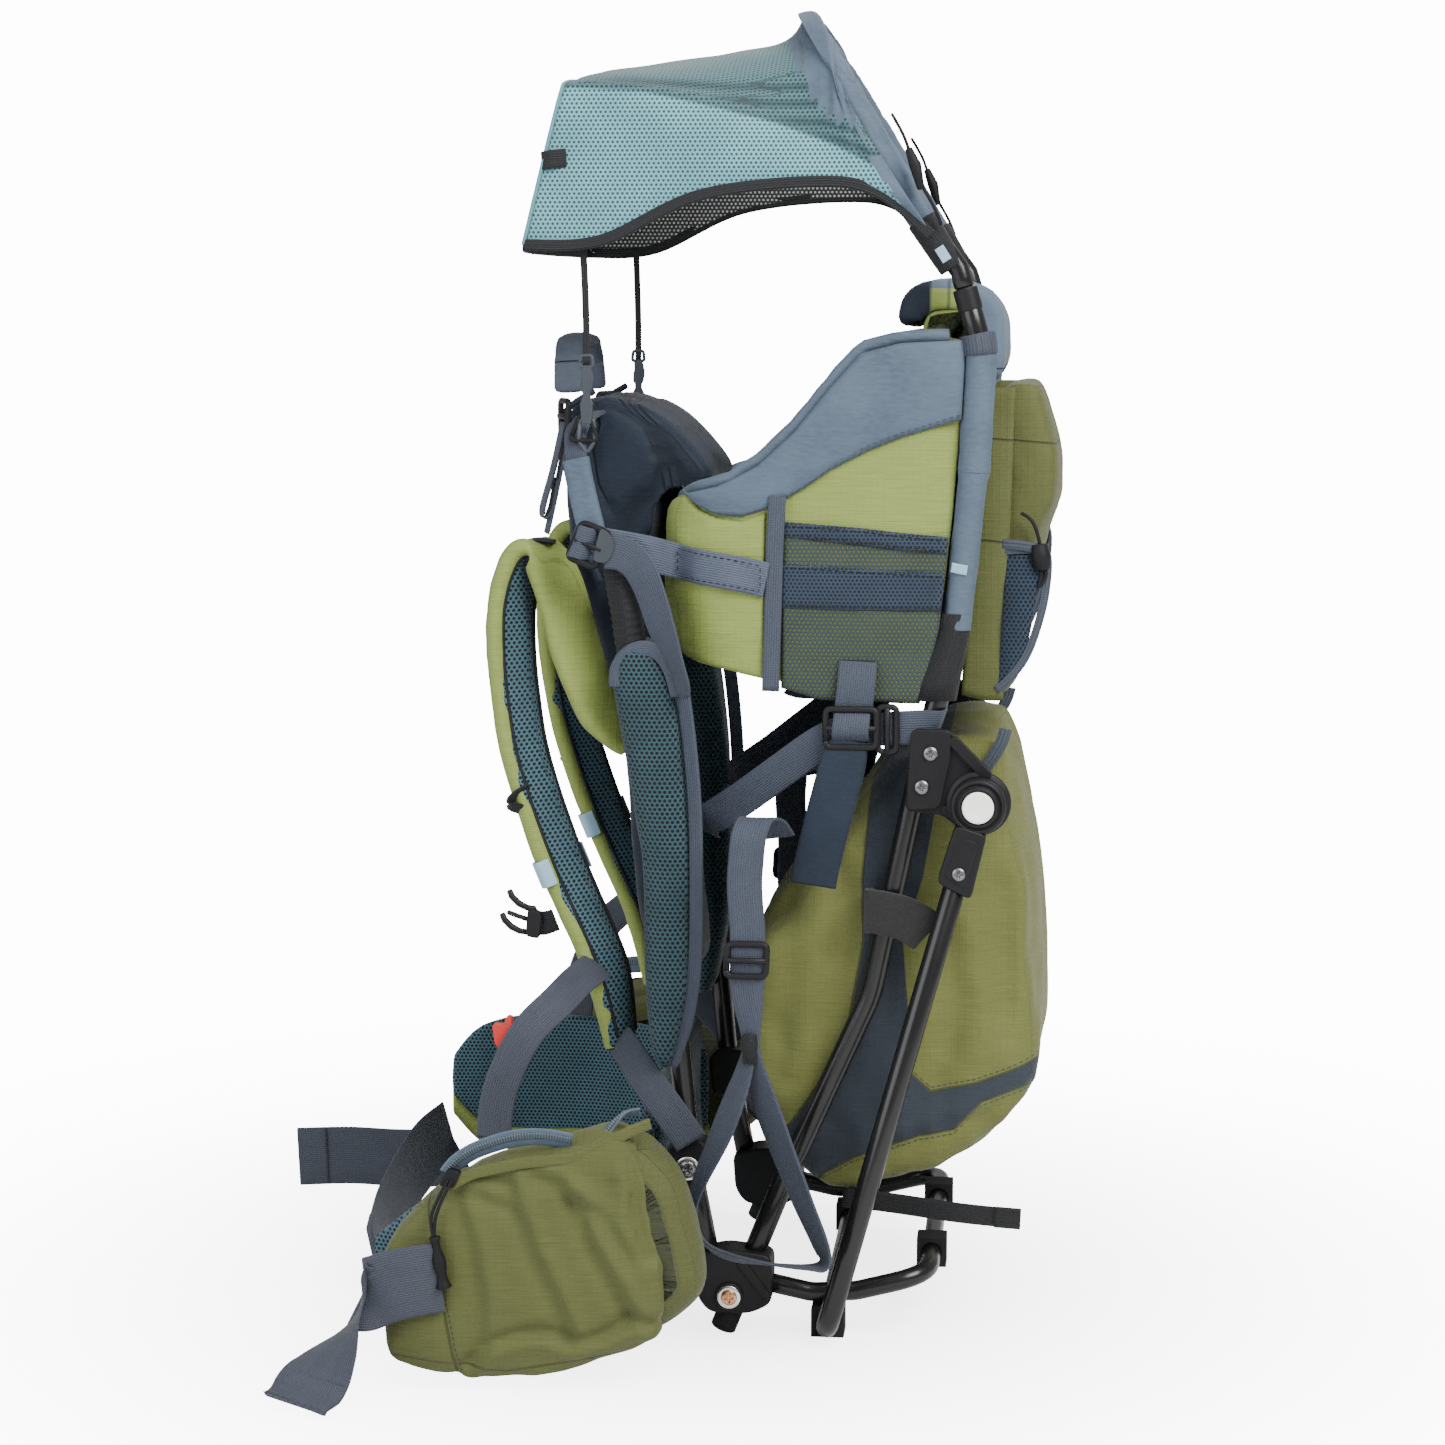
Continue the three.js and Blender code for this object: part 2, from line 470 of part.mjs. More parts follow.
// ---------------------------------------------------------------- bags
const UPPER_BAG_OUTLINE = [[204, 682], [214, 693], [240, 695], [241, 678], [250, 644], [251, 610], [239, 580],
  [225, 498], [221, 466], [200, 462]];
const UPPER_BAG_HOLLOW = [[209, 712], [235, 712], [236, 676], [245, 643], [246, 611], [234, 582],
  [219, 480], [206, 469]];
add('upper_bag', cut(slab(UPPER_BAG_OUTLINE, [-BAG_HALF_WIDTH, BAG_HALF_WIDTH]),
  slab(UPPER_BAG_HOLLOW, [-BAG_HALF_WIDTH + BAG_WALL, BAG_HALF_WIDTH - BAG_WALL])), OLIVE);

const LOWER_BAG_OUTLINE = [[206, 447], [222, 440], [226, 400], [240, 340], [247, 210], [245, 180],
  [232, 158], [186, 120], [143, 104], [90, 92], [62, 114], [28, 159], [22, 211], [28, 290], [72, 340],
  [150, 440]];
const LOWER_BAG_HOLLOW = [[202, 460], [216, 430], [221, 398], [235, 340], [242, 210], [240, 184],
  [229, 163], [183, 125], [141, 109], [92, 98], [66, 118], [33, 161], [27, 212], [33, 288], [76, 336],
  [164, 460]];
add('lower_bag', cut(slab(LOWER_BAG_OUTLINE, [-BAG_HALF_WIDTH, BAG_HALF_WIDTH]),
  slab(LOWER_BAG_HOLLOW, [-BAG_HALF_WIDTH + BAG_WALL, BAG_HALF_WIDTH - BAG_WALL])), OLIVE);

// ---------------------------------------------------------------- hip belt
// Plan place, bottom and top of the wings. The left one tapers under its pouch.
const WING_STATIONS = {
  left: [[164, -34, 56, 140], [184, -52, 44, 146], [201, -92, 36, 150], [210, -140, 34, 143],
    [212, -185, 36, 118], [207, -212, 44, 98], [203, -226, 54, 86]],
  right: [[164, -34, 56, 140], [184, -52, 44, 146], [201, -92, 36, 150], [210, -140, 34, 153],
    [212, -188, 36, 152], [207, -226, 44, 144], [201, -250, 70, 118]],
};
const POUCH_OUTLINE = [[-212, 98], [-182, 135], [-146, 163], [-89, 181], [-33, 198], [0, 162],
  [20, 62], [-27, 27], [-91, 0], [-177, 0], [-211, 14]];
const POUCH_STATIONS = [[0, 1], [0.3, 1], [0.8, 0.96], [1, 0.84]]; // [across, size]
const POUCH_MIDDLE = { y: -98, z: 0 };
for (const [hand, s] of HANDS) {
  const stations = WING_STATIONS[hand];
  const spine = stations.map(([x, y]) => point(s * x, y, 0));
  const sections = pathFrames(spine, point(0, 0, 1)).map(({ p, up }, i) => {
    const [, , low, high] = stations[i];
    return pillow(WING_THICKNESS / 2, low, high).map(([off, z]) =>
      p.clone().addScaledVector(up, off).setZ(z));
  });
  add(`hip_wing_${hand}`, loft(sections), SPACER_MESH);
  add(`hip_pouch_${hand}`, loft(POUCH_STATIONS.map(([across, size]) => POUCH_OUTLINE.map(([y, z]) =>
    point(s * (POUCH_X[0] + across * (POUCH_X[1] - POUCH_X[0])),
      POUCH_MIDDLE.y + (y - POUCH_MIDDLE.y) * size, POUCH_MIDDLE.z + (z - POUCH_MIDDLE.z) * size)))),
  OLIVE);
}
// Hip webbing. Each station is its centre and the way its width runs there.
const BELT_WEBBING = {
  left: [[[297, -166, 86], [0, 0, 1]], [[298, -206, 80], [0, -0.2, 1]], [[304, -226, 58], [0, 0.5, 0.87]],
    [[318, -240, 30], [-0.2, 0.9, 0.4]], [[332, -248, 10], [-0.27, 0.95, 0.1]],
    [[345, -255, 2], [-0.27, 0.96, 0]]],
  right: [[[-200, -266, 27], [0, 0, 1]], [[-204, -300, 27], [0, 0, 1]], [[-204, -340, 28], [0, 0, 1]],
    [[-199, -384, 27], [0, -0.2, 1]]],
  cross: [[[-199, -255, 66], [0, -0.35, 1]], [[-150, -263, 56], [0, -0.3, 1]],
    [[-80, -266, 45], [0, -0.3, 1]], [[0, -264, 36], [0, -0.3, 1]], [[84, -256, 31], [0, -0.2, 1]]],
};
for (const [place, stations] of Object.entries(BELT_WEBBING)) {
  add(`belt_webbing_${place}`, strip(stations, WEBBING.belt, WEBBING.thickness), WEB_GRAY);
}

// ---------------------------------------------------------------- stirrups
// The hanger's webbing lies flat to the side; the foot loop's webbing lies across.
const STIRRUP_LOOP = [[42, 214], [8, 120], [-7, 84], [10, 62], [90, 62], [64, 130]];
const STIRRUP_HANGER = [[34, 206], [26, 262], [25, 370], [32, 392], [44, 392], [51, 370], [50, 262], [44, 206]];
const STIRRUP_MIDDLE = { y: 38, z: 108, inner: 0.9 };
for (const [hand, s] of HANDS) {
  const span = (half) => [s * (STIRRUP_X - half), s * (STIRRUP_X + half)];
  const hole = STIRRUP_LOOP.map(([y, z]) => [STIRRUP_MIDDLE.y + (y - STIRRUP_MIDDLE.y) * STIRRUP_MIDDLE.inner,
    STIRRUP_MIDDLE.z + (z - STIRRUP_MIDDLE.z) * STIRRUP_MIDDLE.inner]);
  const loop = cut(slab(STIRRUP_LOOP, span(WEBBING.narrow / 2)), slab(hole, span(WEBBING.narrow)));
  add(`stirrup_${hand}`, join(loop, slab(STIRRUP_HANGER, span(WEBBING.thickness / 2))), WEB_GRAY);
}

export default carrier;
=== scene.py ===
"""Looks of the baby carrier backpack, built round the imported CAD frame.

Lengths are written in millimetres and turned into metres by MM. +Z is up, the wearer faces -Y and the
wearer's left is +X, as in the CAD.
"""
import math

import bmesh
import bpy
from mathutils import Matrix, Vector, noise


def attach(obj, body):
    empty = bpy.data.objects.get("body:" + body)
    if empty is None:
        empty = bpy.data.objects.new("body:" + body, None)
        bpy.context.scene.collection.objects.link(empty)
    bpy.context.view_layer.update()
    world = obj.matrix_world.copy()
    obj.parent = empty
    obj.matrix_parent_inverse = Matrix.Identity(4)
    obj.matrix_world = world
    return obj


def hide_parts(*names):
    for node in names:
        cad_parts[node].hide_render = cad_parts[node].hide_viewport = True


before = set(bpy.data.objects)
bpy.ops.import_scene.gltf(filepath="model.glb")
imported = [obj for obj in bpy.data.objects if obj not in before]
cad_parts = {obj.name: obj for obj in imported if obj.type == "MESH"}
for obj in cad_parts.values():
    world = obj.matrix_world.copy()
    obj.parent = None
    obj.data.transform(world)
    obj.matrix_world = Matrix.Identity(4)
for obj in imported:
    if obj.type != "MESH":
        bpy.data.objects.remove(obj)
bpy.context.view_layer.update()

MM = 0.001
HANDS = (("left", 1), ("right", -1))


# ---------------------------------------------------------------- vectors and paths
def vec(x, y, z):
    return Vector((x, y, z))


def corner_curve(before, corner, after, reach_in, reach_out, steps):
    """A quadratic curve that cuts a corner; each reach is how far from the corner it starts or ends."""
    a = corner + (before - corner).normalized() * reach_in
    b = corner + (after - corner).normalized() * reach_out
    return [a * (1 - t) ** 2 + corner * 2 * t * (1 - t) + b * t ** 2
            for t in (k / steps for k in range(steps + 1))]


def rounded(corners, radius):
    """A polyline whose inner corners are rounded, as the CAD's tubes are."""
    path = [corners[0]]
    for before, corner, after in zip(corners, corners[1:], corners[2:]):
        to_last, to_next = before - corner, after - corner
        reach = radius / math.tan(to_last.angle(to_next) / 2)
        room = min(reach, to_last.length / 2, to_next.length / 2)
        path += corner_curve(before, corner, after, room, room, 6)
    path.append(corners[-1])
    return [p for i, p in enumerate(path) if i == 0 or (p - path[i - 1]).length > 0.5]


def catmull(values, per_span):
    """Smooth values through a list of vectors or numbers."""
    out = []
    last = len(values) - 1
    for i in range(last):
        p0, p1 = values[max(i - 1, 0)], values[i]
        p2, p3 = values[i + 1], values[min(i + 2, last)]
        for k in range(per_span):
            t = k / per_span
            out.append(0.5 * ((2 * p1) + (p2 - p0) * t + (2 * p0 - 5 * p1 + 4 * p2 - p3) * t * t
                              + (3 * p1 - p0 - 3 * p2 + p3) * t ** 3))
    out.append(values[-1])
    return out


def interp(x, table):
    """Linear interpolation through (x, value) pairs with x rising."""
    if x <= table[0][0]:
        return table[0][1]
    for (x0, y0), (x1, y1) in zip(table, table[1:]):
        if x <= x1:
            return y0 + (y1 - y0) * (x - x0) / (x1 - x0)
    return table[-1][1]


def smooth(t):
    """0 to 1 with no corner at either end."""
    t = min(max(t, 0.0), 1.0)
    return t * t * (3 - 2 * t)


def ripple(p, size, seed=0.0):
    """Repeatable smooth noise from -1 to 1 at a feature size in millimetres."""
    return noise.noise(Vector((p.x / size + seed * 7.3, p.y / size - seed * 3.1, p.z / size + seed)))


def crease(p, size, seed=0.0):
    """Sharp-ridged folds from 0 to 1."""
    return 1 - abs(ripple(p, size, seed)) * 2.2


def round_angles(n):
    """n even angles round a circle."""
    return [2 * math.pi * k / n for k in range(n)]


def squircle(half_u, half_v, power_u, power_v, n):
    """n points round a rectangle with round corners; the smaller the powers, the squarer it is."""
    return [(half_u * math.copysign(abs(math.cos(a)) ** power_u, math.cos(a)),
             half_v * math.copysign(abs(math.sin(a)) ** power_v, math.sin(a))) for a in round_angles(n)]


# ---------------------------------------------------------------- meshes
def mesh_object(name, verts, faces, uvs=None, material=None):
    """verts in millimetres. uvs holds one (u, v) per face corner, in millimetres."""
    mesh = bpy.data.meshes.new(name)
    mesh.from_pydata([tuple(v * MM) for v in verts], [], faces)
    if uvs:
        layer = mesh.uv_layers.new(name="weave")
        flat = [c for face in uvs for corner in face for c in corner]
        layer.data.foreach_set("uv", flat)
    for poly in mesh.polygons:
        poly.use_smooth = True
    if material:
        mesh.materials.append(material)
    obj = bpy.data.objects.new(name, mesh)
    bpy.context.scene.collection.objects.link(obj)
    return obj


def signed_volume(verts, faces):
    """Above 0 when the faces point outwards."""
    total = 0.0
    for face in faces:
        a = verts[face[0]]
        for i in range(1, len(face) - 1):
            total += a.dot(verts[face[i]].cross(verts[face[i + 1]]))
    return total


def loft(name, rings, material, caps=True):
    """A skin through closed rings of equally many points."""
    n = len(rings[0])
    verts = [p for ring in rings for p in ring]
    along = [0.0]
    for a, b in zip(rings, rings[1:]):
        along.append(along[-1] + sum((q - p).length for p, q in zip(a, b)) / n)
    around = []
    for ring in rings:
        run = [0.0]
        for i in range(n):
            run.append(run[-1] + (ring[(i + 1) % n] - ring[i]).length)
        around.append(run)
    faces, uvs = [], []
    for r in range(len(rings) - 1):
        for i in range(n):
            j = (i + 1) % n
            faces.append((r * n + i, r * n + j, (r + 1) * n + j, (r + 1) * n + i))
            uvs.append(((around[r][i], along[r]), (around[r][i + 1], along[r]),
                        (around[r + 1][i + 1], along[r + 1]), (around[r + 1][i], along[r + 1])))
    if caps:
        for r, order in ((0, -1), (len(rings) - 1, 1)):
            ids = [r * n + i for i in range(n)][::order]
            centre = sum((verts[i] for i in ids), Vector()) / n
            verts.append(centre)
            for i in range(n):
                a, b = ids[i], ids[(i + 1) % n]
                faces.append((a, b, len(verts) - 1))
                uvs.append(tuple((verts[k].x, verts[k].z) for k in (a, b, len(verts) - 1)))
        if signed_volume(verts, faces) < 0:
            faces = [f[::-1] for f in faces]
            uvs = [u[::-1] for u in uvs]
    return mesh_object(name, verts, faces, uvs, material)


def path_frames(path, side):
    """Each point of a path with two directions across it, the first as near to side as it can be."""
    frames = []
    for i, p in enumerate(path):
        tangent = (path[min(i + 1, len(path) - 1)] - path[max(i - 1, 0)]).normalized()
        side = (side - tangent * side.dot(tangent)).normalized()
        frames.append((p, side, tangent.cross(side)))
    return frames


def tube(name, path, radius, material, sides=24, end_round=0.8):
    """A round bar along a path in millimetres, its ends slightly rounded."""
    first = path[1] - path[0]
    side = vec(0, 1, 0) if abs(first.x) > abs(first.y) else vec(1, 0, 0)
    radii = radius if callable(radius) else (lambda t: radius)
    frames = path_frames(path, side)
    rings = []
    last = len(path) - 1
    for i, (p, u, w) in enumerate(frames):
        r = radii(i / last)
        ring = [p + u * (r * math.cos(a)) + w * (r * math.sin(a)) for a in round_angles(sides)]
        if i in (0, last) and end_round:
            tangent = (path[1] - path[0] if i == 0 else path[-1] - path[-2]).normalized()
            outward = -tangent if i == 0 else tangent
            small = [p + (q - p) * (1 - end_round / r) for q in ring]
            inset = [q - outward * end_round for q in ring]
            rings.extend([small, inset] if i == 0 else [inset, small])
        else:
            rings.append(ring)
    return loft(name, rings, material)


# half of a webbing's section as shares of its half width and half thickness, edge to edge
WEBBING_FACE = [(-1, 0), (-0.97, 0.7), (-0.88, 1), (-0.45, 1), (0, 1), (0.45, 1), (0.88, 1), (0.97, 0.7)]
WEBBING_SECTION = WEBBING_FACE + [(-a, -b) for a, b in WEBBING_FACE]


def strap(name, stations, width, thickness, material, per_span=8, taper=None):
    """Flat webbing through stations of (centre, way its width runs), with rounded edges."""
    centres = catmull([vec(*c) for c, _ in stations], per_span)
    sides = catmull([vec(*s) for _, s in stations], per_span)
    rings = []
    last = len(centres) - 1
    for i, (c, s) in enumerate(zip(centres, sides)):
        tangent = (centres[min(i + 1, last)] - centres[max(i - 1, 0)]).normalized()
        s = (s - tangent * s.dot(tangent) * 0.9).normalized()
        up = tangent.cross(s).normalized()
        w = width / 2 * (taper(i / last) if taper else 1)
        h = thickness / 2
        rings.append([c + s * (a * w) + up * (b * h) for a, b in WEBBING_SECTION])
    return loft(name, rings, material)


def plate(name, outline, x0, x1, material, bevel=1.0):
    """A flat plate: [y, z] outline between two x values, its edges bevelled."""
    verts = [vec(x0, y, z) for y, z in outline] + [vec(x1, y, z) for y, z in outline]
    n = len(outline)
    faces = [tuple(range(n))[::-1], tuple(range(n, 2 * n))]
    faces += [(i, (i + 1) % n, n + (i + 1) % n, n + i) for i in range(n)]
    if signed_volume(verts, faces) < 0:
        faces = [f[::-1] for f in faces]
    obj = mesh_object(name, verts, faces, material=material)
    soften(obj, bevel)
    return obj


def soften(obj, width):
    """Bevels the sharp edges of a hard piece."""
    mod = obj.modifiers.new("edges", "BEVEL")
    mod.width = width * MM
    mod.segments = 3
    mod.limit_method = "ANGLE"
    mod.angle_limit = math.radians(30)
    mod.harden_normals = True
    return obj


def turned(name, stations, centre, axis_sign, material, sides=40):
    """A turned piece along x: (distance out, radius) stations from centre."""
    rings = [[centre + vec(axis_sign * d, r * math.cos(a), r * math.sin(a)) for a in round_angles(sides)]
             for d, r in stations]
    return loft(name, rings, material)


def join(name, objects):
    """Several meshes as one piece."""
    depsgraph = bpy.context.evaluated_depsgraph_get()
    depsgraph.update()
    joined = bmesh.new()
    materials = []
    for obj in objects:
        mesh = bpy.data.meshes.new_from_object(obj.evaluated_get(depsgraph))
        index = []
        for m in obj.data.materials:
            if m not in materials:
                materials.append(m)
            index.append(materials.index(m))
        for poly in mesh.polygons:
            poly.material_index = index[poly.material_index] if index else 0
        mesh.transform(obj.matrix_world)
        joined.from_mesh(mesh)
        bpy.data.meshes.remove(mesh)
    out = bpy.data.meshes.new(name)
    joined.to_mesh(out)
    joined.free()
    for m in materials:
        out.materials.append(m)
    for obj in objects:
        bpy.data.objects.remove(obj)
    piece = bpy.data.objects.new(name, out)
    bpy.context.scene.collection.objects.link(piece)
    return piece


def subdivide(obj):
    mod = obj.modifiers.new("fine", "SUBSURF")
    mod.levels = mod.render_levels = 1


def shell(obj, thickness, lining):
    """Gives a sheet its thickness and another cloth on its inner face."""
    mod = obj.modifiers.new("thickness", "SOLIDIFY")
    mod.thickness = thickness * MM
    mod.offset = 0.0
    obj.data.materials.append(lining)
    mod.material_offset = 1


def finish_piece(obj, body, replaces=()):
    """Parents a piece to the empty of the body it rides and hides the CAD nodes it stands for."""
    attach(obj, body)
    if replaces:
        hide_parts(*replaces)
    return obj


# ---------------------------------------------------------------- shader arithmetic
class Term:
    """A shader value that takes part in plain arithmetic."""

    def __init__(self, shade, socket):
        self.shade, self.socket = shade, socket

    def math(self, operation, *others):
        node = self.shade.node("ShaderNodeMath", operation=operation)
        for socket, value in zip(node.inputs, (self, *others)):
            self.shade.plug(value, socket)
        return Term(self.shade, node.outputs[0])

    def __add__(self, other):
        return self.math("ADD", other)

    def __sub__(self, other):
        return self.math("SUBTRACT", other)

    def __mul__(self, other):
        return self.math("MULTIPLY", other)

    def __truediv__(self, other):
        return self.math("DIVIDE", other)

    def __neg__(self):
        return self.math("MULTIPLY", -1.0)

    def invert(self):
        return (-self).math("ADD", 1.0)

    def size(self):
        return self.math("ABSOLUTE")

    def sin(self):
        return self.math("SINE")

    def fraction(self):
        return self.math("FRACT")

    def above(self, edge, soft=0.4):
        """0 below an edge, 1 above it, over a soft step."""
        return ((self - edge) / (2 * soft) + 0.5).math("MINIMUM", 1.0).math("MAXIMUM", 0.0)

    def below(self, edge, soft=0.4):
        return self.above(edge, soft).invert()


class Shade:
    """A material being built on the Principled shader."""

    def __init__(self, name, roughness=0.7, **sockets):
        self.material = bpy.data.materials.new(name)
        self.material.use_nodes = True
        self.tree = self.material.node_tree
        self.bsdf = self.tree.nodes["Principled BSDF"]
        self.bsdf.inputs["Roughness"].default_value = roughness
        for key, value in sockets.items():
            self.bsdf.inputs[key.replace("_", " ")].default_value = value

    def plug(self, value, socket):
        if isinstance(value, Term):
            self.tree.links.new(value.socket, socket)
        elif socket.type == "RGBA":
            socket.default_value = (*value, 1.0)
        else:
            socket.default_value = value

    def node(self, kind, **settings):
        node = self.tree.nodes.new(kind)
        for key, value in settings.items():
            setattr(node, key, value)
        return node

    def place(self):
        """Rest position in millimetres as x, y and z."""
        coords = self.node("ShaderNodeTexCoord")
        split = self.node("ShaderNodeSeparateXYZ")
        self.tree.links.new(coords.outputs["Object"], split.inputs[0])
        return [Term(self, s) * 1000.0 for s in split.outputs]

    def flat(self):
        """u and v in millimetres on whichever plane the surface faces most."""
        x, y, z = self.place()
        coords = self.node("ShaderNodeTexCoord")
        split = self.node("ShaderNodeSeparateXYZ")
        self.tree.links.new(coords.outputs["Normal"], split.inputs[0])
        nx, _, nz = [Term(self, s).size() for s in split.outputs]
        side, top = nx.above(0.62, 0.02), nz.above(0.72, 0.02)
        return self.choose(side, x, y), self.choose(top * side.invert(), z, y)

    def choose(self, mask, a, b):
        return a * mask.invert() + b * mask

    def woven(self):
        """u across and v along a strap or tube, in millimetres."""
        layer = self.node("ShaderNodeUVMap", uv_map="weave")
        split = self.node("ShaderNodeSeparateXYZ")
        self.tree.links.new(layer.outputs[0], split.inputs[0])
        return Term(self, split.outputs[0]), Term(self, split.outputs[1])

    def vector(self, u, v, w=0.0):
        node = self.node("ShaderNodeCombineXYZ")
        for value, socket in zip((u, v, w), node.inputs):
            self.plug(value, socket)
        return node.outputs[0]

    def noise(self, u, v, w=0.0, detail=3.0, rough=0.55):
        """Noise from 0 to 1; u, v and w are already divided by the feature size."""
        node = self.node("ShaderNodeTexNoise")
        self.tree.links.new(self.vector(u, v, w), node.inputs["Vector"])
        node.inputs["Scale"].default_value = 1.0
        node.inputs["Detail"].default_value = detail
        node.inputs["Roughness"].default_value = rough
        return Term(self, node.outputs["Fac"])

    def mix(self, mask, a, b):
        node = self.node("ShaderNodeMix", data_type="RGBA")
        self.plug(mask, node.inputs[0])
        self.plug(a, node.inputs[6])
        self.plug(b, node.inputs[7])
        return Term(self, node.outputs[2])

    def line(self, t, table):
        """A bent line through (t, value) pairs, t rising."""
        total = None
        for (t0, v0), (t1, v1) in zip(table, table[1:]):
            part = ((t - t0) / (t1 - t0)).math("MINIMUM", 1.0).math("MAXIMUM", 0.0) * (v1 - v0)
            total = part + v0 if total is None else total + part
        return total

    def cells(self, u, v, pitch, hole):
        """1 on the threads of a staggered mesh, 0 in its holes."""
        rows = pitch * 0.87
        distance = None
        for shift in (0.0, 0.5):
            a = ((u / pitch + shift).fraction() - 0.5) * pitch
            b = ((v / (2 * rows) + shift).fraction() - 0.5) * (2 * rows)
            d = (a * a + b * b).math("SQRT")
            distance = d if distance is None else distance.math("MINIMUM", d)
        return distance.above(hole / 2, pitch * 0.07)

    def done(self, colour, height=None, depth=0.3, roughness=None, alpha=None):
        """Plugs the finished terms in; depth is the bump's height in millimetres."""
        self.plug(colour, self.bsdf.inputs["Base Color"])
        if height is not None:
            bump = self.node("ShaderNodeBump")
            bump.inputs["Distance"].default_value = depth * MM
            bump.inputs["Strength"].default_value = 1.0
            self.plug(height, bump.inputs["Height"])
            self.tree.links.new(bump.outputs[0], self.bsdf.inputs["Normal"])
        if roughness is not None:
            self.plug(roughness, self.bsdf.inputs["Roughness"])
        if alpha is not None:
            self.plug(alpha, self.bsdf.inputs["Alpha"])
        return self.material


def scaled(colour, k):
    return tuple(c * k for c in colour)


# ---------------------------------------------------------------- colours, linear
OLIVE = (0.164, 0.206, 0.050)
GRAY_CLOTH = (0.052, 0.073, 0.101)
WEBBING = (0.032, 0.039, 0.056)
DARK_WEBBING = (0.006, 0.0065, 0.008)
BAG_OLIVE = (0.092, 0.101, 0.0265)
UPPER_OLIVE = (0.060, 0.068, 0.0185)
POUCH_OLIVE = (0.065, 0.073, 0.0205)
NAVY = (0.0085, 0.0135, 0.023)
TEAL = (0.105, 0.262, 0.300)
SPACER_YARN = (0.022, 0.050, 0.062)
SPACER_BACK = (0.003, 0.005, 0.007)
PALE_BLUE = (0.20, 0.32, 0.40)
THREAD = (0.020, 0.024, 0.030)


# ---------------------------------------------------------------- materials
def ripstop_cloth(name, base, contrast=None, rough=0.62, slub=1.0, grid=5.0, sheen=0.08, seams=None):
    """Woven ripstop with slubby cross threads. contrast(shade, x, y, z) may return (mask, colour) zones;
    seams(shade, x, y, z) may return a term that is 1 in a stitched groove."""
    s = Shade(name, rough, Sheen_Weight=sheen, Sheen_Roughness=0.4, Specular_IOR_Level=0.2)
    x, y, z = s.place()
    u, v = s.flat()
    slubs = s.noise(u / 26.0, v / 0.9, 0.0, detail=2.0)
    mottle = s.noise(x / 34.0, y / 34.0, z / 34.0)
    weave = ((u * (2 * math.pi / 1.3)).sin() * (v * (2 * math.pi / 1.1)).sin()) * 0.5 + 0.5
    cross = ((u / grid).fraction() - 0.5).size().above(0.44, 0.03)
    cross = cross.math("MAXIMUM", ((v / grid).fraction() - 0.5).size().above(0.44, 0.03))
    colour = s.mix(slubs.above(0.5, 0.22) * slub, scaled(base, 0.82), scaled(base, 1.16))
    colour = s.mix(mottle.above(0.5, 0.25) * 0.5, colour, scaled(base, 0.9))
    for mask, tint in (contrast(s, x, y, z) if contrast else ()):
        dyed = s.mix(slubs.above(0.5, 0.25), scaled(tint, 0.88), scaled(tint, 1.12))
        colour = s.mix(mask, colour, dyed)
    height = slubs * 0.8 + weave * 0.25 + cross * 0.28
    if seams:
        groove, stitch = seams(s, x, y, z)
        colour = s.mix(groove * 0.55, colour, scaled(base, 0.3))
        colour = s.mix(stitch * 0.75, colour, THREAD)
        height = height - groove * 2.2 + stitch * 1.2
    return s.done(colour, height, 0.45, roughness=slubs * 0.12 + (rough - 0.06))


def soft_shell(name, base, rough=0.72, quilt=None):
    """Smooth stretch nylon with fine cross wrinkles."""
    s = Shade(name, rough, Sheen_Weight=0.06, Sheen_Roughness=0.35, Specular_IOR_Level=0.18)
    x, y, z = s.place()
    u, v = s.flat()
    knit = ((u * (2 * math.pi / 0.9)).sin() * (v * (2 * math.pi / 1.4)).sin()) * 0.5 + 0.5
    fine = s.noise(u / 7.0, v / 2.4, 0.0, detail=3.0)
    mottle = s.noise(x / 40.0, y / 40.0, z / 40.0)
    colour = s.mix(mottle.above(0.5, 0.25), scaled(base, 0.8), scaled(base, 1.25))
    colour = s.mix(fine.above(0.55, 0.2) * 0.5, colour, scaled(base, 1.45))
    height = knit * 0.15 + fine * 0.9
    if quilt:
        groove, stitch = quilt(s, x, y, z)
        colour = s.mix(groove * 0.6, colour, scaled(base, 0.35))
        colour = s.mix(stitch * 0.8, colour, scaled(base, 2.6))
        height = height - groove * 2.5
    return s.done(colour, height, 0.5, roughness=fine * 0.14 + (rough - 0.07))


def ribbed_webbing(name, base, rib=1.7, rough=0.55):
    """Webbing with ribs along its length and a fine cross weave."""
    s = Shade(name, rough, Sheen_Weight=0.06, Sheen_Roughness=0.4, Specular_IOR_Level=0.2)
    u, v = s.woven()
    ribs = (u * (2 * math.pi / rib)).sin() * 0.5 + 0.5
    picks = (v * (2 * math.pi / 1.25) + (u * (math.pi / rib)).sin() * 1.4).sin() * 0.5 + 0.5
    wear = s.noise(u / 9.0, v / 21.0, 0.0)
    colour = s.mix(ribs * 0.6 + picks * 0.3, scaled(base, 0.68), scaled(base, 1.3))
    colour = s.mix(wear.above(0.55, 0.2) * 0.3, colour, scaled(base, 1.5))
    return s.done(colour, ribs * 0.7 + picks * 0.5, 0.35, roughness=wear * 0.2 + (rough - 0.1))


